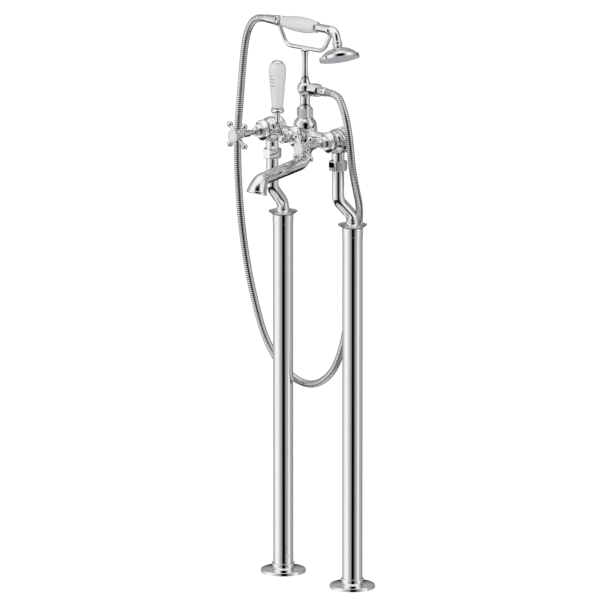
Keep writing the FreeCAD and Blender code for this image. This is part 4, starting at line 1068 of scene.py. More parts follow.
@dataclass
class StandpipeLeg:
    """One pipe from the floor to the valve inlet: cover flange, tube, collar, saucer, cranked leg, union nut."""

    side: Side
    layout: Layout
    pipe_r: float = 19.0
    cover_r: float = 42.5
    cover_hub_r: float = 21.5
    cover_h: float = 18.0
    collar_r: float = 19.5
    saucer_r: float = 27.4
    leg_r: float = 11.4
    crank_r: float = 26.0
    nut_flats: float = 32.0

    def cover(self) -> Surface:
        """Loose flange on the floor: a low disc with a short hub round the tube.

        Returns:
            The surface.
        """
        line = Outline(39, 0).to(self.cover_r, 0, 0.3).to(self.cover_r, 6.0, 1.6)
        line.to(24.0, 8.2, 1.2).to(self.cover_hub_r, 10.4, 1.6)
        line.to(self.cover_hub_r, self.cover_h, 0.9).to(19.1, self.cover_h).to(19.1, 6).to(39, 5).close()
        return turned(line, 96)

    def tube(self) -> Surface:
        """Polished standpipe."""
        line = Outline(17, 5).to(self.pipe_r, 5).to(self.pipe_r, self.layout.pipe_top, 0.3)
        return turned(line.to(17, self.layout.pipe_top).close(), 96)

    def collar(self) -> Surface:
        """Turned head on the tube, a shade wider than it.

        Returns:
            The surface.
        """
        low, high = self.layout.pipe_top, self.layout.flange_foot
        line = Outline(7.6, low - 22).to(16.9, low - 22).to(16.9, low).to(self.collar_r - 0.1, low, 0.2)
        line.to(self.collar_r, low + 0.6, 0.3).to(self.collar_r, high, 0.7).to(11.5, high)
        return turned(line.to(11.5, self.layout.leg_foot).to(7.6, self.layout.leg_foot).close(), 96)

    def saucer(self) -> Surface:
        """Thin saucer that flares from the collar, with a concave top up to the leg.

        Returns:
            The surface.
        """
        foot = self.layout.flange_foot
        line = Outline(11.5, foot).to(18, foot, 0.2)
        line.through((21.6, 1.2 + foot), (24.8, 2.9 + foot), (27.1, 4.8 + foot), leave=(1, 0.15), land=(0.7, 0.8))
        line.through((self.saucer_r, 5.5 + foot), (26.9, 6.0 + foot), land=(-1, 0))
        line.through((20, 5.4 + foot), (15.2, 5.7 + foot), (12.7, 8.4 + foot), (12.2, 12 + foot), land=(0, 1))
        return turned(line.to(11.5, foot + 12).close(), 96)

    def leg(self) -> Surface:
        """Tube cranked forward and inward to the valve inlet.

        Returns:
            The surface.
        """
        lay = self.layout
        pipe, inlet = self.side.sign * lay.pipe_x, self.side.sign * lay.inlet_x
        corners = np.array([(pipe, 0, lay.leg_foot), (pipe, 0, lay.first_corner),
                            (inlet, lay.valve_y, lay.second_corner), (inlet, lay.valve_y, lay.washer_z)])
        track = Track.cornered(corners, [self.crank_r, self.crank_r])
        line = Outline(9.4, 0).to(self.leg_r, 0).to(self.leg_r, track.length - 3).to(13, track.length - 3)
        rows = line.to(13, track.length).to(9.4, track.length).close().rows(step=1.2)
        return carried(rows, track, spokes=64)

    def union_nut(self) -> Surface:
        """Hexagonal union nut with bevelled ends."""
        at = np.array([self.side.sign * self.layout.inlet_x, self.layout.valve_y, 0])
        return nut(self.nut_flats, self.layout.shoulder_z - 8.5, self.layout.nut_top, bore=11.5).laid(at, Z, X)

    def pieces(self, finish: Finishes) -> list[Piece]:
        """Every new object of this pipe.

        Args:
            finish: The materials.

        Returns:
            The pieces, not yet built.
        """
        stand = self.side.sign * self.layout.pipe_x
        end = "_" + self.side.word
        return [
            dressed("floor_cover" + end, self.cover().moved(stand), finish.trim),
            dressed("standpipe" + end, self.tube().moved(stand), finish.tube),
            dressed("top_collar" + end, self.collar().moved(stand), finish.tube),
            dressed("top_flange" + end, self.saucer().moved(stand), finish.trim),
            dressed("cranked_leg" + end, self.leg(), finish.cast),
            dressed("union_nut" + end, self.union_nut(), finish.trim),
        ]


@dataclass
class MixerBody:
    """The casting: two valve chests, flared crossbar, bell, diverter boss and inlet stubs."""

    layout: Layout
    cap_r: float = 24.5
    belly_r: float = 22.8
    throat_r: float = 17.0
    bar_r: float = 9.6
    flare_r: float = 14.0
    boss_r: float = 15.5
    boss_face: float = 26.0
    stub_r: float = 12.0

    def chest(self) -> Surface:
        """A valve chest about its axis: domed cap behind, a beaded step, round belly and a throat.

        Returns:
            The surface.
        """
        cap = self.cap_r
        line = Outline(0, -19.5).arc((cap * 0.62, -18.1), (cap - 1, -15.1))
        line.through((cap, -13.9), (cap, -10.4), (cap - 0.8, -9.4), leave=(1, 0.8), land=(-1, 0.1))
        line.to(21.4, -9.3, 0.2)
        line.through((20.6, -8.0), (21.9, -3.5), (self.belly_r, 2), (22.1, 8), (20, 13), (18.0, 16.2),
                     (self.throat_r, 19.5), leave=(-1, 0.6), land=(0, 1))
        return turned(line.to(self.throat_r, 24, 0.4).to(0, 24), 96)

    def half_bar(self) -> Surface:
        """Crossbar from the centre to one chest, waisted between its flares.

        Returns:
            The surface.
        """
        line = Outline(0, 0).to(self.flare_r, 0).to(self.flare_r, 16.5, 0.8)
        line.through((12.6, 19.5), (10.8, 23.5), (9.9, 29), (self.bar_r, 34.5), leave=(-0.4, 1), land=(0, 1))
        line.to(self.bar_r, 53.2)
        line.through((9.9, 58), (10.8, 63.2), (12.6, 66), (self.flare_r + 0.6, 68.6), leave=(0, 1))
        return turned(line.to(0, 73), 80)

    def bell(self) -> Surface:
        """The middle: a foot for the spout, a ribbed shoulder and a bell that narrows to the cradle's seat.

        Returns:
            The surface.
        """
        line = Outline(0, -24).to(17, -24, 0.3).to(17, -20.5, 0.8)
        line.through((17.6, -17.5), (19.9, -12.5), (20.5, -6), (20.7, 3), leave=(0.2, 1), land=(0, 1))
        line.to(20.9, 6.2, 0.6).to(22.6, 8.2, 0.5).to(22.6, 12, 0.4)
        line.through((22.3, 16), (20.7, 23.2), (17.6, 28.6), (14.9, 31.8), leave=(0, 1), land=(-0.6, 1))
        line.to(14.6, 33, 0.3).to(10, 33).to(10, 41)
        return turned(line.to(0, 41), 96)

    def surface(self) -> Surface:
        """The whole casting.

        Returns:
            The surface.
        """
        centre = self.layout.centre
        parts = [self.bell().laid(centre, Z, X)]
        boss = Outline(0, 0).to(self.boss_r, 0).to(self.boss_r, self.boss_face, 0.5).to(0, self.boss_face)
        parts.append(turned(boss).laid(centre, FRONT, X))
        for side in Side:
            chest = centre + X * side.sign * self.layout.inlet_x
            parts.append(self.half_bar().laid(centre, X * side.sign, Z))
            parts.append(self.chest().laid(chest, FRONT, X))
            stub = Outline(0, -42.5).to(13.1, -42.5).to(13.1, -38, 0.2).to(self.stub_r, -37.6, 0.2)
            stub.to(self.stub_r, -24).through((12.4, -21), (13.8, -18), leave=(0, 1)).to(0, -10)
            parts.append(turned(stub).laid(chest, Z, X))
        return Surface.joined(parts)

    def pieces(self, finish: Finishes) -> list[Piece]:
        """The casting as one object."""
        return [dressed("mixer_body", self.surface(), finish.cast)]


@dataclass
class ValveTrim:
    """Bonnet, gland nut, spindle, cross handle and index on one valve axis."""

    side: Side
    layout: Layout
    face: float = 24.0
    spindle_r: float = 4.7
    handle_start: float = 62.0
    arm_plane: float = 94.0
    arm_root_r: float = 4.5
    arm_tip_r: float = 2.9
    ball_r: float = 6.0
    ball_centre: float = 26.4
    ring_r: float = 12.6
    index_r: float = 11.0

    def gland(self) -> Surface:
        """Small hexagon with a rounded nose.

        Returns:
            The surface.
        """
        low = self.face + 17.5
        nose = Outline(0, low + 5.9).to(6.6, low + 5.9).to(6.6, low + 8.2, 0.6).to(5.6, low + 9, 0.2).to(0, low + 9)
        return Surface.joined([nut(16.0, low, low + 6), turned(nose)])

    def spindle(self) -> Surface:
        """Round spindle from the gland into the handle."""
        line = Outline(0, self.face).to(self.spindle_r, self.face).to(self.spindle_r, self.handle_start + 2)
        return turned(line.to(4, self.handle_start + 2).to(4, self.handle_start + 29).to(0, self.handle_start + 29))

    def arm(self) -> Outline:
        """One tapering arm that ends in a ball.

        Returns:
            The outline.
        """
        middle, radius, root, tip = self.ball_centre, self.ball_r, self.arm_root_r, self.arm_tip_r
        meet = middle - math.sqrt(radius**2 - tip**2)
        line = Outline(0, 5).to(root + 0.6, 5)
        line.through((root - 0.4, 10.2), (tip + 0.4, 15.6), (tip, meet), leave=(-0.4, 1))
        return line.arc((radius, middle), (0, middle + radius), 18)

    def handle(self) -> Surface:
        """Hub and four ball-ended arms at 45 degrees.

        Returns:
            The surface.
        """
        start, plane = self.handle_start, self.arm_plane
        line = Outline(0, start).to(5.9, start).to(6.7, start + 0.8, 0.4).to(6.7, start + 18.2, 0.5)
        line.to(5.7, start + 19.2, 0.5)
        line.through((5.6, start + 21), (6.6, start + 24), (9.2, plane - 6), (9.6, plane - 4), leave=(-0.1, 1),
                     land=(0, 1))
        line.to(9.6, plane + 5.5, 0.3).to(0, plane + 5.5)
        parts = [turned(line)]
        for quarter in range(4):
            turn = math.radians(45 + 90 * quarter)
            out = np.array([math.cos(turn), math.sin(turn), 0.0])
            parts.append(turned(self.arm(), 36).laid(np.array([0, 0, plane]), out, Z))
        return Surface.joined(parts)

    def ring(self) -> Surface:
        """Chrome cup round the index.

        Returns:
            The surface.
        """
        low = self.arm_plane + 5.5
        line = Outline(0, low).to(9.6, low, 0.2)
        line.through((11.2, low + 1.7), (12.35, low + 3.7), (self.ring_r, low + 5.6), leave=(0.7, 1), land=(0, 1))
        line.to(self.ring_r, low + 6.6, 0.2)
        line.through((12.4, low + 7.5), (11.8, low + 8), leave=(0, 1), land=(-1, 0.1))
        line.to(self.index_r + 0.1, low + 7.9).to(self.index_r + 0.1, low + 4.6)
        return turned(line.to(0, low + 4.6), 80)

    def index(self) -> Surface:
        """Crowned ceramic button with a soft edge.

        Returns:
            The surface.
        """
        low = self.arm_plane + 10.1
        line = Outline(0, low).to(self.index_r, low).to(self.index_r, low + 2.9)
        line.through((10.7, low + 3.5), (9.0, low + 4.1), (5.5, low + 4.75), (1, low + 5.0), leave=(0, 1),
                     land=(-1, 0))
        return turned(line.to(0, low + 5.0), 80)

    def pieces(self, finish: Finishes) -> list[Piece]:
        """Every new object on this axis: bonnet and gland on the body, the rest on the handle.

        Args:
            finish: The materials.

        Returns:
            The pieces, not yet built.
        """
        at = self.layout.centre + X * self.side.sign * self.layout.inlet_x
        turns = Body.HOT if self.side is Side.LEFT else Body.COLD
        made = (
            ("valve_bonnet", hexed_bonnet(self.face), finish.trim),
            ("gland_nut", self.gland(), finish.trim),
            ("valve_spindle", self.spindle(), finish.trim, turns),
            ("cross_handle", self.handle(), finish.cast, turns),
            ("index_ring", self.ring(), finish.trim, turns),
            ("index_disc", self.index(), finish.ceramic, turns, Slot.CERAMIC),
        )
        return [dressed(f"{name}_{self.side.word}", surface.laid(at, FRONT, Z), *rest)
                for name, surface, *rest in made]


@dataclass
class DiverterLever:
    """Bonnet on the body's front, and the lever that turns on it: hub, arm, ferrule, ceramic grip and cap."""

    layout: Layout
    hub_low: float = 48.0
    hub_high: float = 64.0
    hub_r: float = 9.0
    arm_r: float = 4.4
    reach: float = 18.0
    rise: float = 36.0
    bend_r: float = 14.0
    ferrule_foot: float = 51.0
    ferrule_h: float = 11.0
    grip_foot_r: float = 10.4
    grip_top_r: float = 16.4
    grip_h: float = 84.0
    mark_top: float = 61.0
    mark_drops: tuple[float, ...] = (0.0, 6.2, 12.4, 18.6)
    mark_spans: tuple[float, ...] = (0.22, 0.40, 0.34, 0.40)

    @property
    def axis(self) -> Array:
        """Foot of the ferrule on the grip's axis."""
        _, y, z = self.layout.centre
        return np.array([0.0, y - (self.hub_low + self.hub_high) / 2 - self.reach, z + self.ferrule_foot])

    def hub(self) -> Surface:
        """Barrel on the spindle, with a waist between two rims.

        Returns:
            The surface.
        """
        low, high = self.hub_low, self.hub_high
        line = Outline(0, low).to(8.2, low, 0.3).to(self.hub_r, low + 0.8, 0.4).to(self.hub_r, low + 3, 0.3)
        line.through((8.5, low + 4.4), (8.3, (low + high) / 2), (8.5, high - 4.4), (self.hub_r, high - 3))
        line.to(self.hub_r, high - 0.8, 0.4).to(8.2, high, 0.3).to(0, high)
        return turned(line).laid(self.layout.centre, FRONT)

    def arm(self) -> Surface:
        """Arm that leans forward from the hub and bends upright into the ferrule.

        Returns:
            The surface.
        """
        hub = self.layout.centre + FRONT * (self.hub_low + self.hub_high) / 2
        corner = np.array([0.0, self.axis[1], self.layout.axis_z + self.rise])
        track = Track.cornered([hub, corner, self.axis + Z * 2], [self.bend_r])
        line = Outline(0, 0).to(self.arm_r + 1.0, 0).to(self.arm_r + 0.4, 12).to(self.arm_r, 22)
        return carried(line.to(self.arm_r, track.length).to(0, track.length).rows(step=1.0), track, spokes=48)

    def rod(self) -> Surface:
        """Rod inside the grip."""
        return turned(Outline(0, 0).to(3, 0).to(3, 97).to(0, 97), 32).moved(*(self.axis - Z * 0.5))

    def cap(self) -> Surface:
        """Domed screw in the hub's face.

        Returns:
            The surface.
        """
        high = self.hub_high
        line = Outline(0, high - 1).to(6.5, high - 1).to(6.5, high + 0.5, 0.2).arc((4.9, high + 2.2), (1, high + 3))
        return turned(line.to(0, high + 3)).laid(self.layout.centre, FRONT)

    def ferrule(self) -> Surface:
        """Cup under the grip: a flared foot, a round bead and a cove.

        Returns:
            The surface.
        """
        line = Outline(0, 0).to(7.2, 0, 0.2)
        line.through((9.6, 0.5), (11.6, 1.7), (12.6, 3.8), (12.6, 5.8), (11.6, 7.4), leave=(1, 0.1), land=(-1, 0.8))
        line.through((10.7, 8.5), (10.9, 10.0), (11.3, self.ferrule_h), leave=(-0.8, 0.8)).to(0, self.ferrule_h)
        return turned(line, 80).moved(*self.axis)

    def grip(self) -> Surface:
        """Ceramic grip that widens upward, with a long rounded shoulder.

        Returns:
            The surface.
        """
        foot, top, head = self.grip_foot_r, self.grip_top_r, self.grip_h
        line = Outline(3.1, 0).to(foot - 0.7, 0, 0.4)
        line.through((foot - 0.1, 0.7), (foot + 0.2, 2.4), (12.2, 20), (14.2, 42), (15.8, 61), (top, 70),
                     (top - 0.35, 75.5), (top - 1.9, 80.3), (12.8, 83.2), (11, head), leave=(1, 0.3),
                     land=(-1, 0.12), steps=6)
        return turned(line.to(3.1, head).close(), 96).moved(*(self.axis + Z * self.ferrule_h))

    def top(self) -> Surface:
        """Stepped chrome cap with a button in its middle.

        Returns:
            The surface.
        """
        line = Outline(3.1, 0).to(10.5, 0, 0.2).to(10.5, 1.3, 0.5)
        line.through((9.0, 2.9), (7.2, 3.9), (5.2, 4.4), (3.2, 4.7), leave=(-0.7, 0.7)).to(2.6, 5.3, 0.2)
        line.through((2.2, 5.8), (1, 6.0), leave=(-0.3, 1), land=(-1, 0)).to(0, 6.0).to(0, 2.1).to(3.1, 2.1)
        return turned(line.close(), 64).moved(*(self.axis + Z * (self.ferrule_h + self.grip_h)))

    def mark_rows(self) -> tuple[tuple[float, ...], tuple[float, ...]]:
        """Heights in metres of the marks on the grip, and the half angle that each spans."""
        first = self.axis[2] + self.ferrule_h + self.mark_top
        return tuple((first - drop) / 1000.0 for drop in self.mark_drops), self.mark_spans

    def pieces(self, finish: Finishes) -> list[Piece]:
        """Every new object of the lever.

        Args:
            finish: The materials.

        Returns:
            The pieces, not yet built.
        """
        bonnet = hexed_bonnet(26.0).laid(self.layout.centre, FRONT, Z)
        spindle = turned(Outline(0, 26.5).to(4.7, 26.5).to(4.7, 48).to(4, 48).to(4, 60).to(0, 60))
        arm = Surface.joined([self.hub(), self.arm(), self.rod()])
        spindle = spindle.laid(self.layout.centre, FRONT)
        return [
            dressed("diverter_bonnet", bonnet, finish.trim),
            dressed("diverter_spindle", spindle, finish.trim, Body.LEVER),
            dressed("diverter_lever", arm, finish.cast, Body.LEVER),
            dressed("lever_cap", self.cap(), finish.trim, Body.LEVER),
            dressed("lever_ferrule", self.ferrule(), finish.trim, Body.LEVER),
            dressed("lever_grip", self.grip(), finish.marked_ceramic, Body.LEVER, Slot.CERAMIC),
            dressed("lever_top", self.top(), finish.trim, Body.LEVER),
        ]


@dataclass
class Spout:
    """Spout under the body: root, elbow, sloping run, and the outlet that widens as it turns down."""

    layout: Layout
    tube_r: float = 12.2
    bore_r: float = 9.6
    elbow_r: float = 20.0
    joint: tuple[float, float, float] = (0.0, -143.0, 791.65)
    corner: tuple[float, float, float] = (0.0, -156.86, 789.70)
    mouth: tuple[float, float, float] = (0.0, -162.89, 770.0)
    lip_r: float = 18.6
    lip_h: float = 5.0
    wall: float = 2.4
    bow_rows: int = 60

    def tube(self) -> Surface:
        """Root collar and the bent tube.

        Returns:
            The surface.
        """
        foot = np.array([0.0, self.layout.valve_y, self.layout.foot_z])
        bend = np.array([0.0, self.layout.valve_y, self.layout.spout_z])
        track = Track.cornered([foot, bend, np.array(self.joint)], [self.elbow_r])
        line = Outline(self.bore_r, 0).to(17, 0, 0.3).to(17, 3, 0.6)
        line.through((16.0, 5.2), (14.0, 7.4), (12.6, 9.2), (self.tube_r, 12), leave=(-0.1, 1), land=(0, 1))
        rows = line.to(self.tube_r, track.length, 0.2).to(self.bore_r, track.length).close().rows(step=1.2)
        return carried(rows, track, spokes=72)

    def outlet(self) -> Surface:
        """The outlet: circles along the parabola joint - corner - mouth, widening as share ** 1.3 to the lip.

        Returns:
            The surface.
        """
        joint, corner, mouth = (np.array(place) for place in (self.joint, self.corner, self.mouth))
        rows, lip = self.bow_rows, self.lip_r
        share = np.linspace(0, 1, rows + 1)[:, None]
        bow = joint * (1 - share) ** 2 + corner * 2 * share * (1 - share) + mouth * share**2
        way = unit(mouth - corner)
        trail = Trail(np.concatenate([bow, mouth + way * np.array([[2.0], [self.lip_h + 1]])]))
        reach = float(trail.marks[rows])
        steps = np.linspace(0, 1, rows // 2 + 1)
        marks = np.interp(steps * rows, np.arange(rows + 3), trail.marks)
        flare = self.tube_r + (lip - self.tube_r) * steps**1.3
        outside = [(float(radius), float(mark)) for radius, mark in zip(flare, marks)]
        inside = [(max(radius - self.wall, 0.1), mark) for radius, mark in outside[::-1]]
        end = reach + self.lip_h
        line = Outline(*inside[-1]).to(*outside[0], 0.2).through(*outside[1:], steps=1)
        line.to(lip + 0.1, reach + 0.2).to(lip + 0.6, reach + 0.8, 0.4).to(lip + 0.6, end - 0.9, 0.7)
        line.to(lip - 0.4, end, 0.3).to(lip - self.wall + 0.4, end, 0.3)
        line.to(lip - self.wall, end - 0.8).to(inside[0][0], reach).through(*inside[1:], steps=1)
        return carried(line.rows(), trail, spokes=80)

    def pieces(self, finish: Finishes) -> list[Piece]:
        """Tube and outlet."""
        return [dressed("spout", self.tube(), finish.cast), dressed("spout_outlet", self.outlet(), finish.cast)]


@dataclass
class Cradle:
    """Lock nut, waisted neck with its ball and side outlet, and the fork with two open hooks."""

    layout: Layout
    nut_flats: float = 28.0
    ball_r: float = 14.6
    stub_r: float = 8.0
    stub_end: float = 17.0
    fork_r: float = 3.9
    fork_half: float = 47.0
    fork_bend_r: float = 20.0
    fork_end_z: float = -12.55
    hook_x: float = 64.0
    hook_bore: float = 8.05
    hook_wall: float = 2.6
    hook_width: float = 5.0
    horn: float = 3.0

    def lock_nut(self) -> Surface:
        """Tall hexagon on the bell."""
        blank = nut(self.nut_flats, self.layout.bell_top, self.layout.neck_z)
        return blank.laid(np.array([0, self.layout.valve_y, 0]), Z, Y)

    def neck(self) -> Surface:
        """Waisted neck, ball with a flat top, and the stub that the hose screws to.

        Returns:
            The surface.
        """
        low, ball_z = self.layout.neck_z, self.layout.ball_z
        meet = ball_z - math.sqrt(self.ball_r**2 - 11**2)
        line = Outline(0, low - 2).to(11, low - 2).to(11, low + 2.2, 0.3)
        line.through((10.2, low + 4), (9.3, low + 10), (9.2, low + 15), (9.7, low + 21), (11, meet),
                     leave=(-0.3, 1))
        line.arc((self.ball_r, ball_z), (9.4, self.layout.stem_foot), 26).to(0, self.layout.stem_foot)
        stub = Outline(0, 0).to(self.stub_r, 0).to(self.stub_r, self.stub_end).to(0, self.stub_end)
        side = turned(stub).laid(np.array([0, 0, ball_z]), X, Y)
        return Surface.joined([turned(line, 80), side]).moved(0, self.layout.valve_y)

    def hook(self, sign: int) -> Surface:
        """Open half ring with upright horns: a rounded rectangle carried round a U.

        The section's corner is |a / half width| ** 5 + |b / half wall| ** 5 = 1, drawn in at both ends.

        Args:
            sign: 1 for the right hook, -1 for the left.

        Returns:
            The surface.
        """
        radius = self.hook_bore + self.hook_wall / 2
        at = np.array([sign * self.hook_x, self.layout.valve_y, self.layout.handset_z])
        starts = np.array([at - Y * radius + Z * self.horn, at - Y * radius, at + Y * radius])
        track = Track(starts, np.array([-Z, -Z, Z]), np.array([X * 0, Y, X * 0]), np.array([0, 1 / radius, 0]),
                      np.array([self.horn, math.pi * radius, self.horn]))
        inner = np.linspace(0.9, track.length - 0.9, 60)
        marks = np.concatenate([[0, 0, 0.12, 0.45], inner, track.length - np.array([0.45, 0.12, 0, 0])])
        ends = np.array([0.0, 0.55, 0.8, 0.94])
        scale = np.concatenate([ends, np.ones(60), ends[::-1]])
        place, way = track.at(marks)
        angle = np.linspace(0, 2 * math.pi, 32, endpoint=False)
        wide = np.sign(np.cos(angle)) * np.abs(np.cos(angle)) ** 0.4 * self.hook_width / 2
        thick = np.sign(np.sin(angle)) * np.abs(np.sin(angle)) ** 0.4 * self.hook_wall / 2
        side = np.cross(way, X)
        offset = X[None, None] * wide[None, :, None] + side[:, None] * thick[None, :, None]
        return netted(place[:, None] + offset * scale[:, None, None])

    def fork(self) -> Surface:
        """Waisted stem, bar with upturned arms, and the hooks.

        Returns:
            The surface.
        """
        lay = self.layout
        foot = lay.stem_foot
        line = Outline(0, foot).to(9.4, foot, 0.2)
        line.through((7.6, foot + 6), (6.3, foot + 14), (5.5, foot + 24), (5.2, foot + 33), (5.4, foot + 44),
                     (6.2, foot + 54), (8.0, foot + 62.5), leave=(-0.25, 1), land=(0.5, 1)).to(0, foot + 64.5)
        end_z = lay.handset_z + self.fork_end_z
        half, hook = self.fork_half, self.hook_x
        row = ((-hook, end_z), (-half, lay.fork_z), (half, lay.fork_z), (hook, end_z))
        corners = [np.array([x, lay.valve_y, z]) for x, z in row]
        track = Track.cornered(corners, [self.fork_bend_r, self.fork_bend_r])
        reach, radius = track.length, self.fork_r
        slant = radius * 0.7071
        rod = Outline(0, -radius).arc((slant, -slant), (radius, 0)).to(radius, reach)
        rod.arc((slant, reach + slant), (0, reach + radius))
        bar = carried(rod.rows(step=1.0), track, across=Y, spokes=48)
        stem = turned(line, 64).moved(0, lay.valve_y)
        return Surface.joined([stem, bar, self.hook(-1), self.hook(1)])

    def pieces(self, finish: Finishes) -> list[Piece]:
        """Nut, neck and fork."""
        return [dressed("cradle_nut", self.lock_nut(), finish.trim),
                dressed("cradle_neck", self.neck(), finish.cast), dressed("cradle_fork", self.fork(), finish.cast)]


@dataclass
class HandShower:
    """Hand shower that lies across the cradle: core and elbow, ceramic barrel, beaded rings, collar and rose."""

    layout: Layout
    neck_r: float = 7.75
    tail_end: float = 68.0
    elbow_start: float = 66.0
    elbow_r: float = 17.0
    elbow_tail: float = 9.0
    tilt: float = 20.0
    roll: float = 9.0
    barrel_low: float = -56.0
    barrel_high: float = 28.0
    barrel_r: float = 14.5
    barrel_end_r: float = 9.4
    collar_h: float = 10.0
    rose_r: float = 37.5
    rose_depth: float = 24.0
    nozzle_rings: tuple[tuple[int, float], ...] = ((1, 0.0), (8, 7.5), (14, 14.0), (20, 20.5), (26, 27.0))

    @property
    def centre(self) -> Array:
        """Middle of the hand shower's own axis."""
        return np.array([0.0, self.layout.valve_y, self.layout.handset_z])

    @property
    def way(self) -> Array:
        """Direction that the rose faces: leaned outward by the tilt and forward by the roll."""
        tilt, roll = math.radians(self.tilt), math.radians(self.roll)
        return np.array([math.sin(tilt), -math.cos(tilt) * math.sin(roll), -math.cos(tilt) * math.cos(roll)])

    @property
    def elbow(self) -> tuple[Array, Array]:
        """Corner of the elbow and the end of its run.

        Returns:
            The corner and the end.
        """
        reach = self.elbow_r * math.tan((math.pi / 2 - math.radians(self.tilt)) / 2)
        corner = self.centre + X * (self.elbow_start + reach)
        return corner, corner + self.way * (reach + self.elbow_tail)

    @property
    def rose(self) -> Array:
        """Where the rose's axis leaves the collar."""
        return self.elbow[1] + self.way * self.collar_h

    def core(self) -> Surface:
        """Tube from the tail thread round the elbow.

        Returns:
            The surface.
        """
        corner, end = self.elbow
        start = self.centre - X * (self.tail_end + 9)
        track = Track.cornered([start, corner, end], [self.elbow_r])
        line = Outline(0, 0).to(6.9, 0).to(6.9, 9).to(self.neck_r, 9).to(self.neck_r, 17).to(6.4, 17)
        line.to(6.4, 109).to(self.neck_r, 109).to(self.neck_r, track.length).to(0, track.length)
        return carried(line.rows(step=1.2), track, across=Y, spokes=56)

    def barrel(self) -> Surface:
        """Ceramic barrel, a long oval between its ends.

        Returns:
            The surface.
        """
        low, high, end = self.barrel_low, self.barrel_high, self.barrel_end_r
        middle = (low + high) / 2 + 4
        line = Outline(6.5, low).to(end - 0.6, low, 0.3)
        line.through((end, low + 0.8), (11.3, low + 9), (13.4, low + 24), (self.barrel_r, middle),
                     (13.5, high - 17), (11.4, high - 7), (end, high - 0.8), leave=(0.7, 1), land=(-0.6, 1))
        line.to(end - 0.6, high, 0.3).to(6.5, high)
        return turned(line.close(), 80).laid(self.centre, X, Y)

    def ring(self, low: float, high: float) -> Surface:
        """Beaded ring at one end of the barrel.

        Args:
            low: Where it starts along the barrel's axis.
            high: Where it ends.

        Returns:
            The surface.
        """
        half = (low + high) / 2
        line = Outline(6.5, low).to(8.8, low, 0.2)
        line.through((9.9, low + 0.7), (10.6, half), (9.9, high - 0.7), (8.8, high), leave=(1, 0.3), land=(-1, 0.3))
        return turned(line.to(6.5, high).close(), 64).laid(self.centre, X, Y)

    def collar(self) -> Surface:
        """Union collar: two beads with a groove between.

        Returns:
            The surface.
        """
        line = Outline(4.6, 0).to(8.1, 0, 0.3)
        line.through((9.2, 0.9), (9.6, 2.4), (9.3, 3.8), (8.1, 5.0), (8.0, 6.2), (9.1, 7.2), (9.5, 8.2), (8.7, 9.3),
                     (7.2, self.collar_h), leave=(1, 0.3), land=(-1, 0.4)).to(4.6, self.collar_h)
        return turned(line.close(), 72).laid(self.elbow[1], self.way, Y)

    def shell(self) -> Surface:
        """Bell of the rose: a coved neck, a domed crown, a step and an upright rim.

        Returns:
            The surface.
        """
        edge, rim = self.rose_depth, self.rose_r
        line = Outline(4.6, 0).to(7, 0, 0.2)
        line.through((8.0, 1.4), (11.8, 3.0), (18.6, 5.0), (25.0, 8.4), (30.2, 12.4), (33.4, 15.6), (34.6, 16.8),
                     leave=(0.4, 1), land=(0.8, 0.7))
        line.to(36.6, 16.9, 0.4).to(rim, 18.2, 0.5).to(rim, edge - 0.4, 0.5).to(rim - 0.5, edge, 0.2)
        line.to(rim - 1.6, edge).to(rim - 1.6, 18).to(32.9, 16.4).to(17.4, 7.6).to(4.6, 3.1)
        return turned(line.close(), 128).laid(self.rose, self.way, Y)

    def plate(self) -> Surface:
        """Face plate with a bevelled edge and a faintly domed middle.

        Returns:
            The surface.
        """
        low, high, rim = self.rose_depth - 4, self.rose_depth - 1, self.rose_r - 1.7
        line = Outline(0, low).to(rim, low).to(rim, high - 0.5, 0.2).to(rim - 0.5, high, 0.2).to(31, high + 0.05)
        line.through((20, high + 0.4), (8, high + 0.72), (1, high + 0.8), land=(-1, 0)).to(0, high + 0.8)
        return turned(line, 96).laid(self.rose, self.way, Y)

    def nozzles(self) -> Surface:
        """Small soft nozzles in rings, each a cone with a rounded tip.

        Returns:
            The surface.
        """
        high = self.rose_depth - 1
        line = Outline(0, -0.5).to(1.15, -0.5).to(0.8, 0.75, 0.0).to(0.45, 0.95, 0.0).to(0, 0.9, 0.0)
        one = turned(line, 10)
        parts = []
        for count, radius in self.nozzle_rings:
            for step in range(count):
                turn = 2 * math.pi * step / count
                rise = high + 0.8 * (1 - radius / 36.0)
                parts.append(one.moved(radius * math.cos(turn), radius * math.sin(turn), rise))
        return Surface.joined(parts).laid(self.rose, self.way, Y)

    def pieces(self, finish: Finishes) -> list[Piece]:
        """Every new object of the hand shower.

        Args:
            finish: The materials.

        Returns:
            The pieces, not yet built.
        """
        low, high, body = self.barrel_low, self.barrel_high, Body.HANDSET
        rings = Surface.joined([self.ring(low - 4, low), self.ring(high, high + 4)])
        return [
            dressed("handset_body", self.core(), finish.cast, body),
            dressed("handset_grip", self.barrel(), finish.ceramic, body, Slot.CERAMIC),
            dressed("grip_rings", rings, finish.trim, body),
            dressed("rose_collar", self.collar(), finish.trim, body),
            dressed("rose_shell", self.shell(), finish.cast, body),
            dressed("rose_plate", self.plate(), finish.pale_plastic, body, Slot.PALE_PLASTIC),
            Piece("rose_nozzles", self.nozzles(), finish.nozzle, (), body, Slot.PALE_PLASTIC),
        ]


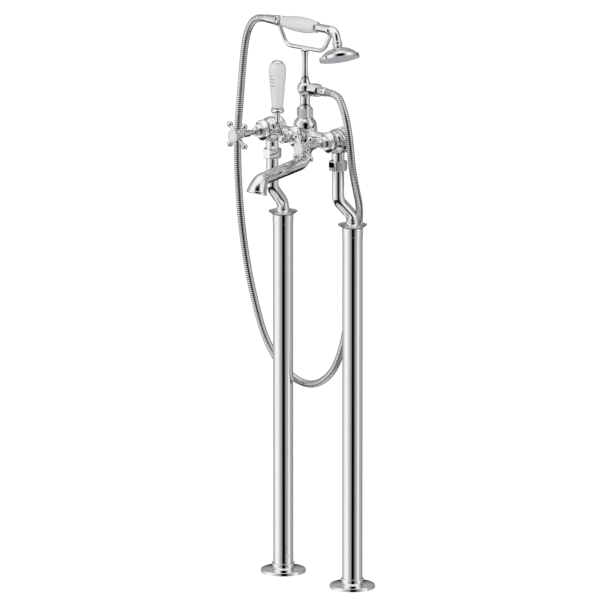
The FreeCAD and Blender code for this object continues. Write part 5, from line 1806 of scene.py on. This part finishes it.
@dataclass
class ShowerHose:
    """Ribbed metal hose from the hand shower's tail round to the cradle's side outlet, with its end pieces.

    crest says where each rib's crest starts and ends, in pitches past its groove, and crown how far the normals
    lean there. route holds the control points of its centre line.
    """

    layout: Layout
    radius: float = 7.0
    groove_r: float = 6.15
    pitch: float = 3.9
    crest: tuple[float, float] = (0.17, 0.83)
    crown: float = 0.2
    sleeve_r: float = 6.8
    spokes: int = 20
    cone_x: float = -68.0
    cone_length: float = 32.0
    nut_x: float = 17.0
    nut_length: float = 19.0
    nut_flats: float = 23.0
    ferrule_length: float = 21.0
    route: tuple[tuple[float, float, float], ...] = (
        (-100, -34, 1066.04), (-126, -34, 1066.04), (-147, -34, 1042), (-156, -34, 1010),
        (-163, -33, 966), (-172, -30, 905), (-186, -24, 830), (-194, -14, 750),
        (-197, -3, 665), (-195, 10, 580), (-182, 20, 500), (-160, 28, 425),
        (-108, 32, 372), (-48, 33, 358), (4, 34, 388), (30, 38, 446),
        (43, 41, 520), (52, 44, 594), (61, 45, 663), (78, 33, 719),
        (102, -3, 763), (117, -30, 811), (121, -40, 863), (115, -42, 901),
        (100, -38, 928), (82.5, -34, 946.57), (57, -34, 946.57),
    )

    def line(self) -> Trail:
        """Centre line: points read from a NURBS spline of order 3 through the route, in millimetres.

        Returns:
            The line.
        """
        curve = bpy.data.curves.new("hose_route", "CURVE")
        curve.dimensions = "3D"
        spline = curve.splines.new("NURBS")
        spline.points.add(len(self.route) - 1)
        spline.points.foreach_set("co", np.c_[np.array(self.route) / 1000, np.ones(len(self.route))].ravel())
        spline.order_u = 3
        spline.use_endpoint_u = True
        spline.resolution_u = 24
        item = bpy.data.objects.new("hose_route", curve)
        mesh = bpy.data.meshes.new_from_object(item)
        places = np.empty(3 * len(mesh.vertices))
        mesh.vertices.foreach_get("co", places)
        bpy.data.objects.remove(item)
        bpy.data.curves.remove(curve)
        bpy.data.meshes.remove(mesh)
        return Trail(places.reshape(-1, 3) * 1000)

    def tube(self, trail: Trail) -> Surface:
        """Ribbed tube: each rib is a groove and a crest, and a plain sleeve covers both ends.

        Args:
            trail: Centre line.

        Returns:
            The tube, with depth 0 in the grooves and 1 on the crests.
        """
        lead = 2 * self.radius
        count = int(round((trail.length - 2 * lead) / self.pitch))
        pitch = (trail.length - 2 * lead) / count
        foot = lead + pitch * np.arange(count)[:, None]
        marks = (foot + pitch * np.array([0.0, *self.crest])).ravel()
        radii = np.tile([self.groove_r, self.radius, self.radius], count)
        rise = np.tile([0.0, self.crown, -self.crown], count)
        end = trail.length
        marks = np.concatenate([[0, 0, lead - 0.6], marks, [end - lead, end - lead + 0.6, end, end]])
        sleeve = self.sleeve_r
        radii = np.concatenate([[0, sleeve, sleeve], radii, [self.groove_r, sleeve, sleeve, 0]])
        rise = np.concatenate([[0, 0, 0], rise, [0, 0, 0, 0]])
        ways = unit(np.stack([rise, np.sqrt(1 - rise**2)], axis=1))
        before, after = ways.copy(), ways.copy()
        after[0], before[1] = (1, 0), (1, 0)
        after[-2], before[-1] = (-1, 0), (-1, 0)
        spots = np.stack([radii, marks], axis=1)
        depth = np.clip((radii - self.groove_r) / (self.radius - self.groove_r), 0, 1)
        return carried((spots, before, after), trail, across=Y, spokes=self.spokes, depth=depth)

    def cone(self) -> Surface:
        """Long cone on the hand shower's tail, with a bead at its root.

        Returns:
            The surface.
        """
        line = Outline(4, 0).to(9.2, 0, 0.2).to(10.2, 1, 0.3).to(10.2, 4, 0.6)
        line.through((9.4, 5.6), (8.9, 10), (8.2, 20), (7.7, 28), (7.6, 30), leave=(-0.6, 1), land=(0, 1))
        line.to(7.6, self.cone_length, 0.2).to(4, self.cone_length)
        at = np.array([self.cone_x, self.layout.valve_y, self.layout.handset_z])
        return turned(line.close(), 72).laid(at, -X, Y)

    def end_nut(self) -> Surface:
        """Hexagonal nut on the cradle's side outlet."""
        at = np.array([self.nut_x, self.layout.valve_y, self.layout.ball_z])
        return nut(self.nut_flats, 0, self.nut_length).laid(at, X, Y)

    def ferrule(self) -> Surface:
        """Ferrule between the nut and the hose, with a groove before its taper.

        Returns:
            The surface.
        """
        line = Outline(4, 0).to(8.4, 0, 0.2).to(8.4, 5, 0.3).to(7.9, 5.6, 0.3).to(7.9, 6.6, 0.3).to(8.4, 7.2, 0.3)
        line.to(8.4, 16.5, 1.0).to(7.6, self.ferrule_length, 0.3).to(4, self.ferrule_length)
        at = np.array([self.nut_x + self.nut_length, self.layout.valve_y, self.layout.ball_z])
        return turned(line.close(), 72).laid(at, X, Y)

    def build(self, finish: Finishes) -> list[bpy.types.Object]:
        """Args:
            finish: The materials.

        Returns:
            The objects.
        """
        cone = dressed("hose_cone", self.cone(), finish.trim, Body.HANDSET).build()
        ends = [dressed("hose_nut", self.end_nut(), finish.trim).build(),
                dressed("hose_ferrule", self.ferrule(), finish.trim).build()]
        trail = self.line()
        hose = BlendedPiece("ribbed_shower_hose", self.tube(trail), finish.ribbed, ("shower_hose",),
                            slot=Slot.HOSE, low=(-0.16, -0.034, 0.957), high=(-0.16, -0.034, 1.058))
        item = hose.build()
        return [cone, *ends, item]


# ---------------- studio


@dataclass
class Studio:
    """Floor, light and camera. The camera stands where the fit to the photograph puts it."""

    target: tuple[float, float, float] = (0.0, 0.0, 0.540)
    distance: float = 20.0
    azimuth: float = 43.753
    elevation: float = 12.261
    focal_px: float = 10681.6
    shift_px: tuple[float, float] = (17.68, -1.13)
    frame_px: float = 600.0
    sensor: float = 36.0
    floor_half: float = 60.0
    floor_glow: float = 0.50
    diffuse: float = 0.62
    overhead: float = 0.97
    underfoot: float = 0.66
    # Name, place, side and watts of each soft box
    lamps: tuple[tuple[str, tuple[float, float, float], float, float], ...] = (
        ("key_box", (-1.2, -3.4, 3.2), 2.6, 30.0), ("fill_box", (3.6, -1.2, 2.2), 2.4, 16.0),
    )
    # Heights over which what a mirror sees changes to the part named
    upper_fade: tuple[float, float] = (0.10, 0.34)
    overhead_fade: tuple[float, float] = (0.70, 0.92)
    underfoot_fade: tuple[float, float] = (-0.90, -0.70)
    # Reflected brightness by the angle from the camera, left to right
    bands: tuple[tuple[float, float], ...] = (
        (-180, 0.16), (-160, 0.24), (-138, 0.52), (-119, 0.56), (-100, 0.90), (-84, 1.0), (-68, 1.0), (-56, 0.88),
        (-44, 0.68), (-32, 0.48), (-20, 0.36), (-12, 0.26), (-8, 0.0), (17, 0.0), (22, 0.19), (37, 0.34),
        (49, 0.52), (61, 0.86), (78, 1.0), (86, 0.44), (107, 0.46), (128, 0.30), (150, 0.24), (180, 0.16),
    )
    # The same for what is reflected from above the horizon
    upper: tuple[tuple[float, float], ...] = (
        (-180, 0.40), (-145, 0.30), (-112, 0.55), (-84, 1.0), (-45, 1.0), (-30, 0.50), (-18, 0.14), (-9, 0.0),
        (24, 0.0), (34, 0.25), (56, 1.0), (80, 0.90), (100, 0.40), (125, 0.18), (150, 0.30), (180, 0.40),
    )
    # What the bands are multiplied by, from straight down to straight up
    storeys: tuple[tuple[float, float], ...] = (
        (-1.0, 0.75), (-0.84, 0.66), (-0.76, 0.12), (-0.66, 0.0), (-0.56, 0.04), (-0.50, 1.0), (0.02, 1.0),
        (0.04, 0.10), (0.09, 0.06), (0.12, 1.0), (1.0, 1.0),
    )

    def camera(self) -> bpy.types.Object:
        """Place the camera: focal length = pixels * sensor / frame, shift = pixels / frame.

        Returns:
            The object.
        """
        turn, lift = math.radians(self.azimuth), math.radians(self.elevation)
        back = np.array([math.sin(turn) * math.cos(lift), -math.cos(turn) * math.cos(lift), math.sin(lift)])
        data = bpy.data.cameras.new("photo_camera")
        data.sensor_width = self.sensor
        data.sensor_fit = "HORIZONTAL"
        data.lens = self.focal_px * self.sensor / self.frame_px
        data.shift_x = -self.shift_px[0] / self.frame_px
        data.shift_y = self.shift_px[1] / self.frame_px
        data.clip_end = 200.0
        item = bpy.data.objects.new("photo_camera", data)
        item.location = np.array(self.target) + back * self.distance
        item.rotation_euler = (math.pi / 2 - lift, 0.0, turn)
        bpy.context.scene.collection.objects.link(item)
        bpy.context.scene.camera = item
        return item

    def floor(self) -> bpy.types.Object:
        """A wide pale floor, white to the camera where nothing shades it, left out of mirror reflections.

        Returns:
            The object.
        """
        mesh = bpy.data.meshes.new("studio_floor")
        half = self.floor_half
        corners = [(-half, -half, 0), (half, -half, 0), (half, half, 0), (-half, half, 0)]
        mesh.from_pydata(corners, [], [(0, 1, 2, 3)])
        material = bpy.data.materials.new("studio_paper")
        material.use_nodes = True
        material.node_tree.nodes.clear()
        graph = Graph(material.node_tree)
        place = graph.add("ShaderNodeTexCoord").outputs["Object"]
        grain = graph.add("ShaderNodeTexNoise", {"Vector": place, "Scale": 3.0, "Detail": 3.0}).outputs["Fac"]
        tone = graph.blend(grain, shade(0.88), shade(0.91))
        paper = graph.add("ShaderNodeBsdfDiffuse", {"Color": tone})
        seen = graph.add("ShaderNodeLightPath").outputs["Is Camera Ray"]
        strength = graph.sum("MULTIPLY", seen, self.floor_glow)
        glow = graph.add("ShaderNodeEmission", {"Color": shade(1.0), "Strength": strength})
        both = graph.add("ShaderNodeAddShader", {0: paper.outputs[0], 1: glow.outputs[0]})
        graph.add("ShaderNodeOutputMaterial", {"Surface": both.outputs[0]})
        mesh.materials.append(material)
        item = bpy.data.objects.new("studio_floor", mesh)
        bpy.context.scene.collection.objects.link(item)
        item.visible_glossy = False
        return item

    @staticmethod
    def _ramp(graph: Graph, share: bpy.types.NodeSocket, stops: Sequence[tuple[float, float]],
              whole: float) -> bpy.types.NodeSocket:
        """Grey levels along a share from 0 to 1, straight between stops at spot / whole + 1/2.

        Args:
            graph: The world's graph.
            share: Socket with the share.
            stops: Spot and level of each stop.
            whole: Distance between the first spot and the last.

        Returns:
            The output socket.
        """
        ramp = graph.add("ShaderNodeValToRGB", {"Fac": share})
        marks = ramp.color_ramp.elements
        for index, (spot, level) in enumerate(stops):
            mark = marks[index] if index < 2 else marks.new(spot / whole + 0.5)
            mark.position = spot / whole + 0.5
            mark.color = shade(level)
        return ramp.outputs["Color"]

    def world(self) -> None:
        """White to the camera, a banded studio to mirrors, plain soft light to everything else.

        A mirror ray reads the bands by its angle from the camera's own azimuth and the storeys by its height. The
        bands change to the upper ones above the horizon, those to white overhead, and all to grey straight down.
        """
        world = bpy.data.worlds.new("studio")
        bpy.context.scene.world = world
        world.use_nodes = True
        world.node_tree.nodes.clear()
        graph = Graph(world.node_tree)
        way = graph.add("ShaderNodeTexCoord").outputs["Generated"]
        parts = graph.add("ShaderNodeSeparateXYZ", {0: way})
        across = graph.sum("ARCTAN2", parts.outputs["X"], graph.sum("MULTIPLY", parts.outputs["Y"], -1.0))
        angle = graph.sum("SUBTRACT", across, math.radians(self.azimuth))
        share = graph.sum("FRACT", graph.sum("MULTIPLY_ADD", angle, 1 / (2 * math.pi), 0.5))
        level = self._ramp(graph, share, self.bands, 360)
        height = graph.sum("MULTIPLY", graph.sum("ADD", parts.outputs["Z"], 1.0), 0.5)
        storey = self._ramp(graph, height, self.storeys, 2)
        above = self._ramp(graph, share, self.upper, 360)
        top = graph.ranged(parts.outputs["Z"], *self.overhead_fade, 0.0, 1.0)
        above = graph.blend(top, above, shade(self.overhead))
        high = graph.ranged(parts.outputs["Z"], *self.upper_fade, 0.0, 1.0)
        low = graph.ranged(parts.outputs["Z"], *self.underfoot_fade, 1.0, 0.0)
        sides = graph.sum("MULTIPLY", level, storey)
        room = graph.blend(low, graph.blend(high, sides, above), shade(self.underfoot))
        path = graph.add("ShaderNodeLightPath")
        mirror = graph.sum("MAXIMUM", path.outputs["Is Glossy Ray"], path.outputs["Is Transmission Ray"])
        seen = graph.blend(mirror, shade(self.diffuse, (0.985, 0.99, 1.0)), room)
        colour = graph.blend(path.outputs["Is Camera Ray"], seen, shade(1.0))
        back = graph.add("ShaderNodeBackground", {"Color": colour, "Strength": 1.0})
        graph.add("ShaderNodeOutputWorld", {"Surface": back.outputs[0]})

    def lamp(self, name: str, place: tuple[float, float, float], size: float, watts: float) -> bpy.types.Object:
        """A square soft box that looks at the target and shows in no mirror.

        Args:
            name: Name of the lamp.
            place: Where it stands, in metres.
            size: Length of its side, in metres.
            watts: Its power.

        Returns:
            The object.
        """
        data = bpy.data.lights.new(name, "AREA")
        data.size = size
        data.energy = watts
        item = bpy.data.objects.new(name, data)
        item.location = place
        x, y, z = unit(np.array(place) - np.array(self.target)).tolist()
        item.rotation_euler = (math.acos(z), 0.0, math.atan2(y, x) + math.pi / 2)
        item.visible_glossy = False
        bpy.context.scene.collection.objects.link(item)
        return item

    def build(self) -> None:
        """Set up everything round the object."""
        bpy.context.scene.view_settings.view_transform = "Standard"
        self.camera()
        self.floor()
        self.world()
        for name, place, size, watts in self.lamps:
            self.lamp(name, place, size, watts)


# Nodes that keep their CAD mesh: those there is one of, and those that each pipe has
KEPT_ONCE: tuple[str, ...] = ("union_washers", "diverter_cartridge", "flow_straightener")
KEPT_TWICE: tuple[str, ...] = ("floor_plate", "inlet_socket", "riser_pipe", "valve_cartridge", "handle_screw")


def main() -> None:
    """Build the studio and every sub-assembly, and dress what is kept of the CAD."""
    logging.basicConfig(level=logging.INFO, format="%(name)s: %(message)s")
    layout = Layout()
    Studio().build()
    lever = DiverterLever(layout)
    rows, spans = lever.mark_rows()
    finish = Finishes(rows, spans, float(lever.axis[1]) / 1000)
    hose = ShowerHose(layout)
    hose.build(finish)
    groups = [lever, MixerBody(layout), Spout(layout), Cradle(layout), HandShower(layout)]
    for side in Side:
        groups += [StandpipeLeg(side, layout), ValveTrim(side, layout)]
    for group in groups:
        for piece in group.pieces(finish):
            piece.build()
    slots = {part["node"]: part["material_slot"] for part in frame["record"]["subparts"]}
    for name in (*KEPT_ONCE, *(f"{name}_{side.word}" for name in KEPT_TWICE for side in Side)):
        for slot in frame["nodes"][name].material_slots:
            slot.material = finish.for_slot(slots[name])
        LOG.info("%s keeps its CAD mesh in %s", name, slots[name])


if __name__ == "__main__":
    main()
